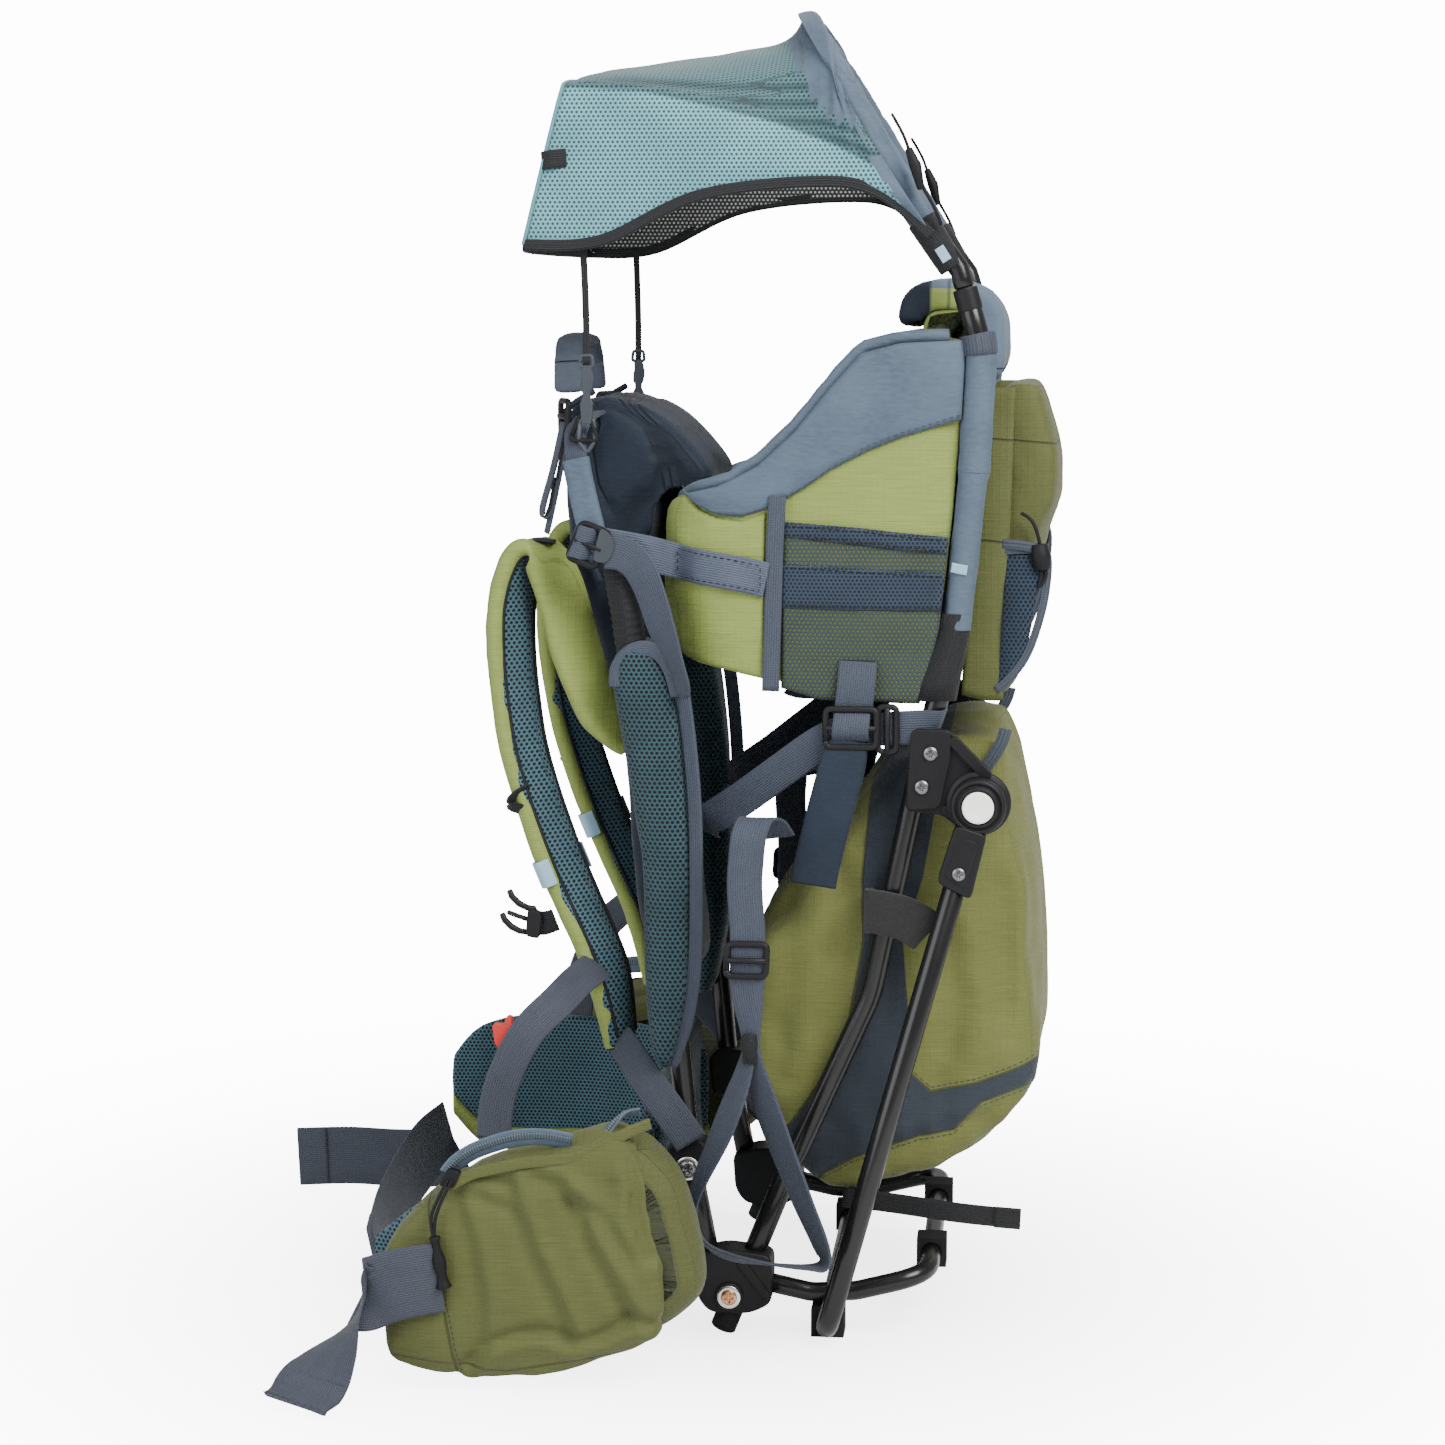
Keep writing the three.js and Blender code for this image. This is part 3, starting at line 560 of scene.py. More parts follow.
def open_mesh(name, yarn, hole_alpha=0.12, pitch=3.4, hole=2.1, dark=None):
    """See-through knitted mesh: its holes let light by."""
    s = Shade(name, 0.6, Sheen_Weight=0.12, Sheen_Roughness=0.4, Specular_IOR_Level=0.2)
    u, v = s.flat()
    x, y, z = s.place()
    threads = s.cells(u, v, pitch, hole)
    cloud = s.noise(x / 45.0, y / 45.0, z / 45.0)
    colour = s.mix(cloud.above(0.5, 0.25), scaled(yarn, 0.8), scaled(yarn, 1.15))
    colour = s.mix(threads, scaled(yarn, 0.22), colour)
    if dark:
        shade, fold = dark(s, x, y, z)
        colour = s.mix(shade, colour, s.mix(threads, scaled(yarn, 0.08), scaled(yarn, 0.4)))
        # painted shade along the folds: the second mask from dark() darkens the mesh there
        colour = s.mix(fold, colour, scaled(yarn, 0.08))
    return s.done(colour, threads, 0.5, alpha=threads * (1 - hole_alpha) + hole_alpha)


def spacer(name, yarn, back, pitch=3.6, hole=2.3, rough=0.75):
    """Closed spacer mesh: pale yarn cells over a dark lining."""
    s = Shade(name, rough, Sheen_Weight=0.1, Sheen_Roughness=0.4, Specular_IOR_Level=0.15)
    x, y, z = s.place()
    u, v = s.flat()
    threads = s.cells(u, v, pitch, hole)
    cloud = s.noise(x / 30.0, y / 30.0, z / 30.0)
    colour = s.mix(threads, back, s.mix(cloud.above(0.5, 0.25), scaled(yarn, 0.85), scaled(yarn, 1.2)))
    return s.done(colour, threads, 0.9)


def satin_tube(name, base=(0.006, 0.006, 0.0065), rough=0.24):
    s = Shade(name, rough, Specular_IOR_Level=0.3, Coat_Weight=0.04, Coat_Roughness=0.2)
    x, y, z = s.place()
    fine = s.noise(x / 0.8, y / 0.8, z / 0.8, detail=2.0)
    wear = s.noise(x / 28.0, y / 28.0, z / 28.0, detail=4.0)
    colour = s.mix(wear.above(0.62, 0.12) * 0.35, base, scaled(base, 2.2))
    return s.done(colour, fine, 0.02, roughness=wear * 0.12 + (rough - 0.05))


def moulded(name, base, rough=0.45, grain=0.05, worn=1.8):
    """Injection-moulded plastic with a fine grain and paler worn corners."""
    s = Shade(name, rough, Specular_IOR_Level=0.14)
    x, y, z = s.place()
    fine = s.noise(x / 0.6, y / 0.6, z / 0.6, detail=3.0)
    patches = s.noise(x / 12.0, y / 12.0, z / 12.0, detail=4.0)
    geometry = s.node("ShaderNodeNewGeometry")
    edges = Term(s, geometry.outputs["Pointiness"]).above(0.56, 0.03)
    colour = s.mix(patches.above(0.55, 0.2) * 0.25, base, scaled(base, 1.35))
    colour = s.mix(edges * 0.35, colour, scaled(base, worn))
    return s.done(colour, fine, grain, roughness=patches * 0.15 + (rough - 0.07))


def bright_metal(name, base, rough=0.25):
    s = Shade(name, rough, Metallic=1.0)
    x, y, z = s.place()
    brush = s.noise(x / 0.5, y / 3.0, z / 3.0, detail=3.0)
    stain = s.noise(x / 4.0, y / 4.0, z / 4.0, detail=3.0)
    colour = s.mix(stain.above(0.6, 0.15) * 0.4, base, scaled(base, 0.6))
    return s.done(colour, brush, 0.03, roughness=stain * 0.2 + (rough - 0.08))


def fuzzy(name, base):
    """Hook-and-loop pile."""
    s = Shade(name, 0.95, Sheen_Weight=0.12, Sheen_Roughness=0.6, Specular_IOR_Level=0.05)
    x, y, z = s.place()
    pile = s.noise(x / 0.9, y / 0.9, z / 0.9, detail=4.0, rough=0.8)
    colour = s.mix(pile.above(0.5, 0.2), scaled(base, 0.5), scaled(base, 2.0))
    return s.done(colour, pile, 0.9)


def zip_teeth(name, base):
    s = Shade(name, 0.45, Specular_IOR_Level=0.4)
    u, v = s.woven()
    teeth = (v * (2 * math.pi / 1.9)).sin() * 0.5 + 0.5
    colour = s.mix(teeth, scaled(base, 0.55), scaled(base, 1.3))
    return s.done(colour, teeth, 0.6)


SATIN = satin_tube("tube_satin")
PLASTIC = moulded("plastic_black", (0.008, 0.008, 0.009))
SOFT_PLASTIC = moulded("plastic_soft_black", (0.006, 0.006, 0.007), rough=0.6)
GRAY_PLASTIC = moulded("plastic_gray", (0.032, 0.038, 0.044), rough=0.42)
RUBBER = moulded("rubber_black", (0.011, 0.011, 0.012), rough=0.82, grain=0.12, worn=1.5)
CHROME = bright_metal("zinc_bright", (0.72, 0.72, 0.70))
NICKEL = bright_metal("nickel_dark", (0.16, 0.16, 0.165), rough=0.32)
COPPER = bright_metal("copper_tone", (0.62, 0.33, 0.20), rough=0.3)
WHITE = moulded("plastic_white", (0.78, 0.78, 0.76), rough=0.4, worn=1.05)
WEB = ribbed_webbing("webbing_gray", WEBBING)
WEB_DARK = ribbed_webbing("webbing_black", DARK_WEBBING)
BELT_WEB = ribbed_webbing("webbing_belt", (0.034, 0.039, 0.053))
BINDING = ribbed_webbing("binding_gray", (0.030, 0.038, 0.052), rib=2.6)
EDGE_TEAL = ribbed_webbing("binding_teal", scaled(TEAL, 0.7), rib=2.6)
WEB_PALE = ribbed_webbing("webbing_pale", scaled(WEBBING, 1.6))
GRAY = soft_shell("cloth_gray", GRAY_CLOTH, rough=0.68)
HANDLE_CLOTH = soft_shell("cloth_handle", (0.042, 0.051, 0.069))
NAVY_SHELL = soft_shell("cloth_navy", NAVY)
OLIVE_CLOTH = ripstop_cloth("cloth_olive", OLIVE)
POCKET_BAND = spacer("mesh_pocket_band", (0.021, 0.032, 0.051), (0.006, 0.010, 0.017), pitch=3.0, hole=1.8)
SPACER = spacer("mesh_spacer", SPACER_YARN, SPACER_BACK)
SPACER_TEAL = spacer("mesh_spacer_teal", (0.041, 0.090, 0.114), (0.004, 0.007, 0.010), pitch=3.4, hole=2.1)
POCKET_MESH = spacer("mesh_pocket", (0.024, 0.037, 0.041), (0.055, 0.066, 0.022), pitch=3.2, hole=2.0)
NAVY_MESH = spacer("mesh_navy", (0.014, 0.026, 0.044), (0.003, 0.004, 0.006), pitch=3.2, hole=1.9)
FUZZ = fuzzy("pile_black", (0.012, 0.012, 0.013))
REFLECT = moulded("reflective_tape", PALE_BLUE, rough=0.3, grain=0.1, worn=1.1)
ZIP = zip_teeth("zip_coil", (0.055, 0.075, 0.095))
SIGNAL_RED = moulded("plastic_red", (0.42, 0.03, 0.025), rough=0.35, worn=1.2)


# ---------------------------------------------------------------- camera, floor and light
def aim(obj, target):
    """Turns a camera or a light to face a point."""
    obj.rotation_euler = (target - obj.location).to_track_quat("-Z", "Y").to_euler()


CAMERA_PLACE, CAMERA_TARGET = vec(2332.2, 245.1, 740), vec(0, 0, 431.3)
LENS, SENSOR_WIDTH = 77.58, 36
camera = bpy.data.objects.new("camera", bpy.data.cameras.new("camera"))
bpy.context.scene.collection.objects.link(camera)
camera.location = CAMERA_PLACE * MM
camera.data.lens = LENS
camera.data.sensor_width = SENSOR_WIDTH
aim(camera, CAMERA_TARGET * MM)
bpy.context.scene.camera = camera

floor_shade = Shade("floor_pale", 0.85)
fx, fy, _ = floor_shade.place()
floor_tone = floor_shade.noise(fx / 300.0, fy / 300.0)
floor_material = floor_shade.done(floor_shade.mix(floor_tone, (0.86, 0.86, 0.855), (0.89, 0.89, 0.885)))
FLOOR_REACH, FLOOR_HEIGHT, HAZE_HEIGHT = 6000, -0.5, -0.25


def ground(name, height, material):
    """A level square round the origin."""
    corners = [vec(a * FLOOR_REACH, b * FLOOR_REACH, height)
               for a, b in ((-1, -1), (1, -1), (1, 1), (-1, 1))]
    return mesh_object(name, corners, [(0, 1, 2, 3)], material=material)


def camera_only(obj):
    """Hides an object from every ray but the camera's."""
    for ray in ("diffuse", "glossy", "transmission", "volume_scatter", "shadow"):
        setattr(obj, f"visible_{ray}", False)


floor = ground("floor", FLOOR_HEIGHT, floor_material)

# a white seamless backdrop: a dome that only the camera sees, so it adds no light of its own
DOME_RADIUS, WHITE_GLOW = 7000, 14.0
dome_rings = []
for k in range(13):
    lift = math.pi * (k / 12 - 0.5) * 0.98
    dome_rings.append([vec(math.cos(lift) * math.cos(a), math.cos(lift) * math.sin(a),
                           math.sin(lift)) * DOME_RADIUS for a in round_angles(32)])
white = bpy.data.materials.new("backdrop_white")
white.use_nodes = True
white.node_tree.nodes.clear()
glow = white.node_tree.nodes.new("ShaderNodeEmission")
glow.inputs["Color"].default_value = (1, 1, 1, 1)
glow.inputs["Strength"].default_value = WHITE_GLOW
white_out = white.node_tree.nodes.new("ShaderNodeOutputMaterial")
white.node_tree.links.new(glow.outputs[0], white_out.inputs[0])
dome = loft("backdrop", dome_rings, white)
camera_only(dome)

# the floor fades into the backdrop: a haze over it, clear under the object, that only the camera sees
haze_shade = Shade("floor_haze", 0.9)
hx, hy, _ = haze_shade.place()
cover = haze_shade.line((hx * hx + hy * hy).math("SQRT"),
                        [(150, 0.25), (400, 0.5), (700, 0.85), (1000, 1.0)])
tree = haze_shade.tree
clear = tree.nodes.new("ShaderNodeBsdfTransparent")
haze_glow = tree.nodes.new("ShaderNodeEmission")
haze_glow.inputs["Strength"].default_value = WHITE_GLOW
blend_node = tree.nodes.new("ShaderNodeMixShader")
haze_shade.plug(cover, blend_node.inputs[0])
tree.links.new(clear.outputs[0], blend_node.inputs[1])
tree.links.new(haze_glow.outputs[0], blend_node.inputs[2])
tree.links.new(blend_node.outputs[0], next(n for n in tree.nodes if n.type == "OUTPUT_MATERIAL").inputs[0])
haze = ground("floor_haze", HAZE_HEIGHT, haze_shade.material)
camera_only(haze)

world = bpy.data.worlds.new("studio")
bpy.context.scene.world = world
world.use_nodes = True
sky = world.node_tree.nodes["Background"]
sky.inputs["Color"].default_value = (0.97, 0.98, 1.0, 1)
sky.inputs["Strength"].default_value = 0.5


LIGHT_TARGET = vec(0, 0, 450)


def area_light(name, position, power, size, tint=(1, 1, 1)):
    light = bpy.data.lights.new(name, "AREA")
    light.energy = power
    light.size = size
    light.color = tint
    obj = bpy.data.objects.new(name, light)
    bpy.context.scene.collection.objects.link(obj)
    obj.location = position * MM
    aim(obj, LIGHT_TARGET * MM)


area_light("key", vec(1500, 1300, 2100), 140, 1.4, tint=(1, 0.985, 0.96))
area_light("fill", vec(1700, -1700, 1300), 62, 2.0, tint=(0.95, 0.97, 1))
area_light("rim", vec(-1500, 300, 1900), 14, 1.6)
area_light("top", vec(0, 0, 2500), 16, 1.8)


# ---------------------------------------------------------------- soft solids
def resample(outline, step, corner=0.0):
    """Even points round a closed [y, z] outline, its corners pulled round."""
    points = [vec(0, y, z) for y, z in outline]
    if corner:
        path = []
        n = len(points)
        for i, p in enumerate(points):
            before, after = points[i - 1], points[(i + 1) % n]
            path += corner_curve(before, p, after, min(corner, (before - p).length * 0.45),
                                 min(corner, (after - p).length * 0.45), 4)
        points = path
    total = sum((points[(i + 1) % len(points)] - p).length for i, p in enumerate(points))
    count = max(int(total / step), 12)
    out = []
    i, gone = 0, 0.0
    for k in range(count):
        want = total * k / count
        while True:
            span = (points[(i + 1) % len(points)] - points[i]).length
            if gone + span >= want or i >= len(points) - 1:
                break
            gone += span
            i += 1
        t = (want - gone) / max(span, 1e-6)
        out.append(points[i].lerp(points[(i + 1) % len(points)], min(max(t, 0), 1)))
    return out


def prism(name, outline, x0, x1, material, edge=8.0, corner=14.0, step=7.0, inset=0.0):
    """A [y, z] outline pulled along x with rounded edges: the start of a padded piece."""
    loop = resample(outline, step, corner)
    n = len(loop)
    area = sum(loop[i].y * loop[(i + 1) % n].z - loop[(i + 1) % n].y * loop[i].z for i in range(n))
    turn = 1 if area > 0 else -1
    normals = []
    for i in range(n):
        t = (loop[(i + 1) % n] - loop[i - 1]).normalized()
        normals.append(vec(0, -t.z, t.y) * turn)     # points inward
    low, high = sorted((x0, x1))
    xs = [low + edge * (1 - math.cos(a)) for a in (0, 0.4, 0.8, 1.2)]
    count = max(int((high - low - 2 * edge) / 9), 1)
    xs += [low + edge + (high - low - 2 * edge) * k / count for k in range(count + 1)]
    xs += [high - edge * (1 - math.cos(a)) for a in (1.2, 0.8, 0.4, 0)]
    verts, faces = [], []
    for x in xs:
        out = max(0.0, edge - min(x - low, high - x)) / edge
        pull = inset + edge * 0.8 * (1 - math.sqrt(max(0.0, 1 - out * out)))
        verts += [vec(x, p.y, p.z) + m * pull for p, m in zip(loop, normals)]
    for r in range(len(xs) - 1):
        faces += [(r * n + i, r * n + (i + 1) % n, (r + 1) * n + (i + 1) % n, (r + 1) * n + i)
                  for i in range(n)]
    faces.append(tuple(range(n)))
    faces.append(tuple(range((len(xs) - 1) * n, len(xs) * n))[::-1])
    if signed_volume(verts, faces) < 0:
        faces = [f[::-1] for f in faces]
    return mesh_object(name, verts, faces, material=material)


def remesh(obj, voxel):
    """Rebuilds a mesh from even cells of a size in millimetres."""
    mod = obj.modifiers.new("even", "REMESH")
    mod.mode = "VOXEL"
    mod.voxel_size = voxel * MM
    mod.use_smooth_shade = True
    bake(obj)
    return obj


def bake(obj):
    """Puts the result of an object's modifiers into its mesh."""
    depsgraph = bpy.context.evaluated_depsgraph_get()
    depsgraph.update()
    mesh = bpy.data.meshes.new_from_object(obj.evaluated_get(depsgraph))
    if not mesh.materials:
        for material in obj.data.materials:
            mesh.materials.append(material)
    old = obj.data
    obj.modifiers.clear()
    obj.data = mesh
    bpy.data.meshes.remove(old)
    return obj


def inflate(obj, voxel, pressure, cap, steps):
    """Remeshes a padded piece, swells it by cloth simulation and caps how far any point moves."""
    remesh(obj, voxel)
    mesh = obj.data
    rest = [v.co.copy() for v in mesh.vertices]
    mod = obj.modifiers.new("swell", "CLOTH")
    cloth = mod.settings
    cloth.quality = 4
    cloth.mass = 0.25
    cloth.tension_stiffness = cloth.compression_stiffness = 18
    cloth.shear_stiffness = 8
    cloth.bending_stiffness = 0.35
    cloth.use_pressure = True
    cloth.uniform_pressure_force = pressure
    cloth.effector_weights.gravity = 0
    mod.collision_settings.use_collision = False
    mod.point_cache.frame_start, mod.point_cache.frame_end = 1, steps
    scene = bpy.context.scene
    for frame_number in range(1, steps + 1):
        scene.frame_set(frame_number)
    moved = bpy.data.meshes.new_from_object(obj.evaluated_get(bpy.context.evaluated_depsgraph_get()))
    new = [v.co.copy() for v in moved.vertices]
    bpy.data.meshes.remove(moved)
    obj.modifiers.clear()
    scene.frame_set(1)
    for v, start, end in zip(mesh.vertices, rest, new):
        go = end - start
        far = cap * MM
        v.co = start + go * (far / (far + go.length) if go.length > 1e-9 else 0)
    mesh.update()
    mod = obj.modifiers.new("calm", "SMOOTH")
    mod.factor, mod.iterations = 0.5, 2
    bake(obj)
    for poly in obj.data.polygons:
        poly.use_smooth = True
    return obj


def sculpt(obj, move):
    """Moves every vertex by move(p, normal) in millimetres."""
    mesh = obj.data
    shift = [move(v.co / MM, v.normal.copy()) for v in mesh.vertices]
    for v, s in zip(mesh.vertices, shift):
        v.co += s * MM
    mesh.update()
    return obj


def wrinkle(obj, folds):
    """Folds: a list of (feature size, depth, seed) noise layers pushed along the normal."""
    return sculpt(obj, lambda p, n: n * sum(d * ripple(p, size, seed) for size, d, seed in folds))


def mirrored(obj, name):
    """The same piece for the wearer's other side."""
    mesh = obj.data.copy()
    for v in mesh.vertices:
        v.co.x = -v.co.x
    mesh.flip_normals()
    copy = bpy.data.objects.new(name, mesh)
    for mod in obj.modifiers:
        other = copy.modifiers.new(mod.name, mod.type)
        for prop in mod.bl_rna.properties:
            if not prop.is_readonly and prop.identifier not in ("name", "type"):
                setattr(other, prop.identifier, getattr(mod, prop.identifier))
    bpy.context.scene.collection.objects.link(copy)
    return copy


def panel(name, top, bottom, place, thickness, material, puff=0.0, folds=(), columns=40, rows=12):
    """A cloth panel on a surface. top and bottom are (s, z) lines, place(s, z, lift) gives the point at a
    height over the surface."""
    def along(line, t):
        runs = [0.0]
        for a, b in zip(line, line[1:]):
            runs.append(runs[-1] + math.dist(a, b))
        want = t * runs[-1]
        for i in range(len(line) - 1):
            if want <= runs[i + 1] or i == len(line) - 2:
                k = (want - runs[i]) / max(runs[i + 1] - runs[i], 1e-6)
                return tuple(a + (b - a) * k for a, b in zip(line[i], line[i + 1]))

    verts, uvs = [], {}
    for layer in (0, 1):
        for c in range(columns + 1):
            hi, lo = along(top, c / columns), along(bottom, c / columns)
            for r in range(rows + 1):
                t = r / rows
                s, z = (lo[k] + (hi[k] - lo[k]) * t for k in (0, 1))
                from_edge = min(t * math.dist(hi, lo), (1 - t) * math.dist(hi, lo),
                                c / columns * 1e3 if c < columns / 2 else (1 - c / columns) * 1e3)
                near = min(c, columns - c, r, rows - r) == 0
                swell = puff * math.sin(math.pi * t) * math.sin(math.pi * c / columns) ** 0.5
                p = vec(s, 0, z)
                noise_lift = sum(d * ripple(p, size, seed) for size, d, seed in folds)
                fade = smooth(min(from_edge / 12.0, 1.0))
                lift = (thickness * (0.25 if near else 1.0) + swell + noise_lift * fade) if layer else 0.0
                uvs[len(verts)] = (s, z)
                verts.append(place(s, z, lift))
    step, size = rows + 1, (columns + 1) * (rows + 1)
    faces = []
    for c in range(columns):
        for r in range(rows):
            a = c * step + r
            faces.append((size + a, size + a + step, size + a + step + 1, size + a + 1))
            faces.append((a, a + 1, a + step + 1, a + step))
    rim = [c * step for c in range(columns + 1)]
    rim += [columns * step + r for r in range(1, rows + 1)]
    rim += [c * step + rows for c in range(columns - 1, -1, -1)]
    rim += [r for r in range(rows - 1, 0, -1)]
    for a, b in zip(rim, rim[1:] + rim[:1]):
        faces.append((a, b, size + b, size + a))
    if signed_volume(verts, faces) < 0:
        faces = [f[::-1] for f in faces]
    return mesh_object(name, verts, faces, [tuple(uvs[i] for i in f) for f in faces], material)


def frame_bar(name, corners, radius, material):
    """A round bar bent through corners and closed on itself, as buckles and rings are."""
    n = len(corners)
    path = []
    for i, p in enumerate(corners):
        before, after = corners[i - 1], corners[(i + 1) % n]
        reach = min(radius * 1.8, (before - p).length * 0.4, (after - p).length * 0.4)
        path += corner_curve(before, p, after, reach, reach, 4)
    path.append(path[0] + (path[1] - path[0]) * 0.02)
    return tube(name, path, radius, material, sides=12, end_round=0)


def tri_glide(name, centre, along, across, face, width, height, material=None):
    """A webbing slider: a rectangular frame with a raised middle bar. along is the way its long side runs."""
    material = material or PLASTIC
    along, across = along.normalized(), across.normalized()
    w, h = along * (width / 2), across * (height / 2)
    outline = frame_bar(f"{name}_rim", [centre - w - h, centre + w - h, centre + w + h, centre - w + h],
                        2.3, material)
    bar = tube(f"{name}_bar", [centre - w + face * 1.2, centre + face * 1.6, centre + w + face * 1.2], 2.1,
               material, sides=12)
    return join(name, [outline, bar])


def gather(y, z, folds):
    """Height of fallen folds, each a line of (y, z), a depth and a width: a valley beside a ridge."""
    total = 0.0
    for run, depth, width in folds:
        nearest, side = 1e9, 1
        for (y0, z0), (y1, z1) in zip(run, run[1:]):
            dy, dz = y1 - y0, z1 - z0
            t = min(max(((y - y0) * dy + (z - z0) * dz) / (dy * dy + dz * dz), 0), 1)
            ey, ez = y - y0 - dy * t, z - z0 - dz * t
            away = math.hypot(ey, ez)
            if away < nearest:
                nearest, side = away, 1 if dy * ez - dz * ey > 0 else -1
        k = nearest / width
        total += depth * (0.7 * math.exp(-(side * k - 1.6) ** 2) - math.exp(-k * k))
    return total


def sided(s, stations):
    """Strap stations given for the wearer's left, for the side whose sign is s."""
    return [((s * x, y, z), (s * a, b, c)) for (x, y, z), (a, b, c) in stations]


def facing(way, *centres):
    """Strap stations whose widths all run the same way."""
    return [(centre, way) for centre in centres]


def webbing(name, stations, width, body="frame", material=None, thickness=1.8, per_span=6,
            taper=None):
    """A strap that is finished at once."""
    piece = strap(name, stations, width, thickness, material or WEB, per_span=per_span, taper=taper)
    return finish_piece(piece, body)


def stitches(name, path, material, length=3.2, gap=1.9, radius=0.42, lift=vec(0, 0, 0)):
    """A run of thread stitches along a path in millimetres, as one piece."""
    runs = [0.0]
    for a, b in zip(path, path[1:]):
        runs.append(runs[-1] + (b - a).length)

    def at(d):
        for i in range(len(path) - 1):
            if d <= runs[i + 1]:
                return path[i].lerp(path[i + 1], (d - runs[i]) / max(runs[i + 1] - runs[i], 1e-6))
        return path[-1]

    verts, faces = [], []
    d = gap
    while d + length < runs[-1]:
        a, b = at(d) + lift, at(d + length) + lift
        t = (b - a).normalized()
        side = t.orthogonal().normalized()
        up = t.cross(side)
        base = len(verts)
        for centre, r in ((a, 0.3), (a.lerp(b, 0.25), 1.0), (a.lerp(b, 0.75), 1.0), (b, 0.3)):
            verts += [centre + side * (r * radius * math.cos(q * math.pi / 2.5)) +
                      up * (r * radius * math.sin(q * math.pi / 2.5)) for q in range(5)]
        for ring in range(3):
            faces += [(base + ring * 5 + q, base + ring * 5 + (q + 1) % 5,
                       base + ring * 5 + 5 + (q + 1) % 5, base + ring * 5 + 5 + q) for q in range(5)]
        faces += [tuple(base + q for q in range(5))[::-1], tuple(base + 15 + q for q in range(5))]
        d += length + gap
    return mesh_object(name, verts, faces, material=material)


# ---------------------------------------------------------------- frame tubes
FRAME_X, LEG_X, TUBE_R = 140, 168, 8
HUB = vec(0, 198, 397)
FOOT_BAR = vec(0, 92, 10)
TUBE_TOP, RISE = vec(0, 184, 757), vec(0, -0.28, 0.96)


def on_rise(x, s):
    """A point s millimetres above the top of a main tube, on its axis."""
    return vec(x, 0, 0) + TUBE_TOP + RISE * s


def main_route(x):
    """The main tube's axis, from its foot to its top."""
    return rounded([vec(x, 15, 3), vec(x, 60, 116), vec(x, 122, 254), vec(x, 158, 430), vec(x, 181, 520),
                    vec(x, 192, 632), on_rise(x, -44), on_rise(x, 0)], 90)


def stay_route(x):
    """The front stay's axis."""
    return rounded([vec(x, 8, 40), vec(x, -9, 128), vec(x, -16, 202), vec(x, -60, 565)], 60)


def tube_y(z):
    """How far back the main tube is at a height."""
    path = main_route(FRAME_X)
    return interp(z, [(p.z, p.y) for p in path])


LEG_LENGTH = (FOOT_BAR - HUB).length


def on_leg(x, reach):
    """A point on a kickstand leg's axis, by its distance from the hub."""
    return vec(x, 0, 0) + HUB + (FOOT_BAR - HUB) * (reach / LEG_LENGTH)


for hand, s in HANDS:
    finish_piece(tube(f"look_main_tube_{hand}", main_route(s * FRAME_X), TUBE_R, SATIN),
                 "frame", [f"main_tube_{hand}"])
    finish_piece(tube(f"look_front_stay_{hand}", stay_route(s * FRAME_X), TUBE_R, SATIN),
                 "frame", [f"front_stay_{hand}"])
for label, y, z in (("front", -58.4, 552), ("rear", 190.5, 615)):
    bar = tube(f"look_{label}_crossbar", [vec(-FRAME_X + 6, y, z), vec(0, y, z), vec(FRAME_X - 6, y, z)], 6,
               SATIN)
    finish_piece(bar, "frame", [f"{label}_crossbar"])
loop_corners = [vec(137, 46, 38), vec(137, 80, 31), vec(137, 112, 33), vec(137, 165, 47)]
loop_corners += [vec(-p.x, p.y, p.z) for p in reversed(loop_corners)]
finish_piece(tube("look_base_loop", rounded(loop_corners, 34), 7, SATIN), "frame",
             ["base_loop"])
leg_path = rounded([on_leg(LEG_X, 27), on_leg(LEG_X, LEG_LENGTH), on_leg(-LEG_X, LEG_LENGTH),
                    on_leg(-LEG_X, 27)], 22)
finish_piece(tube("look_kickstand", leg_path, TUBE_R, SATIN), "kickstand", ["kickstand_tube"])

HOOP_LEAN = math.atan2(117, 183)
HOOP_STRAIGHT, HOOP_R = 77, 7


def over_hoop(x, s):
    """A point in the canopy hoop's leaning plane, s up from the top of the tubes."""
    return vec(x, TUBE_TOP.y - math.sin(HOOP_LEAN) * s, TUBE_TOP.z + math.cos(HOOP_LEAN) * s)


hoop_arc = [over_hoop(FRAME_X * math.cos(a), HOOP_STRAIGHT + FRAME_X * math.sin(a))
            for a in (math.pi * i / 36 for i in range(37))]
hoop_path = [on_rise(FRAME_X, 0.3), on_rise(FRAME_X, 7), on_rise(FRAME_X, 14), *hoop_arc,
             on_rise(-FRAME_X, 14), on_rise(-FRAME_X, 7), on_rise(-FRAME_X, 0.3)]
hoop_parts = [tube("hoop_bend", hoop_path, HOOP_R, SATIN)]
for hand, s in HANDS:
    hoop_parts.append(tube(f"hoop_plug_{hand}", [on_rise(s * FRAME_X, -39), on_rise(s * FRAME_X, 4)], 5.8,
                           SATIN))
finish_piece(join("look_canopy_hoop", hoop_parts), "canopy", ["canopy_hoop"])
for hand, s in HANDS:
    x = s * FRAME_X
    ferrule = tube(f"tube_ferrule_{hand}", [on_rise(x, -16), on_rise(x, -15), on_rise(x, -1.5),
                                            on_rise(x, -0.6)], 8.7, PLASTIC, end_round=0.4)
    finish_piece(ferrule, "frame")


# ---------------------------------------------------------------- moulded fittings kept from the CAD
def dress(node, material, bevel):
    """Gives a CAD solid its material and rounds its edges."""
    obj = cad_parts[node]
    for holder in obj.material_slots:
        holder.material = material
    if not obj.material_slots:
        obj.data.materials.append(material)
    weld = obj.modifiers.new("weld", "WELD")
    weld.merge_threshold = 0.05 * MM
    flat = obj.modifiers.new("flat", "DECIMATE")
    flat.decimate_type = "DISSOLVE"
    flat.angle_limit = math.radians(2)
    soften(obj, bevel)


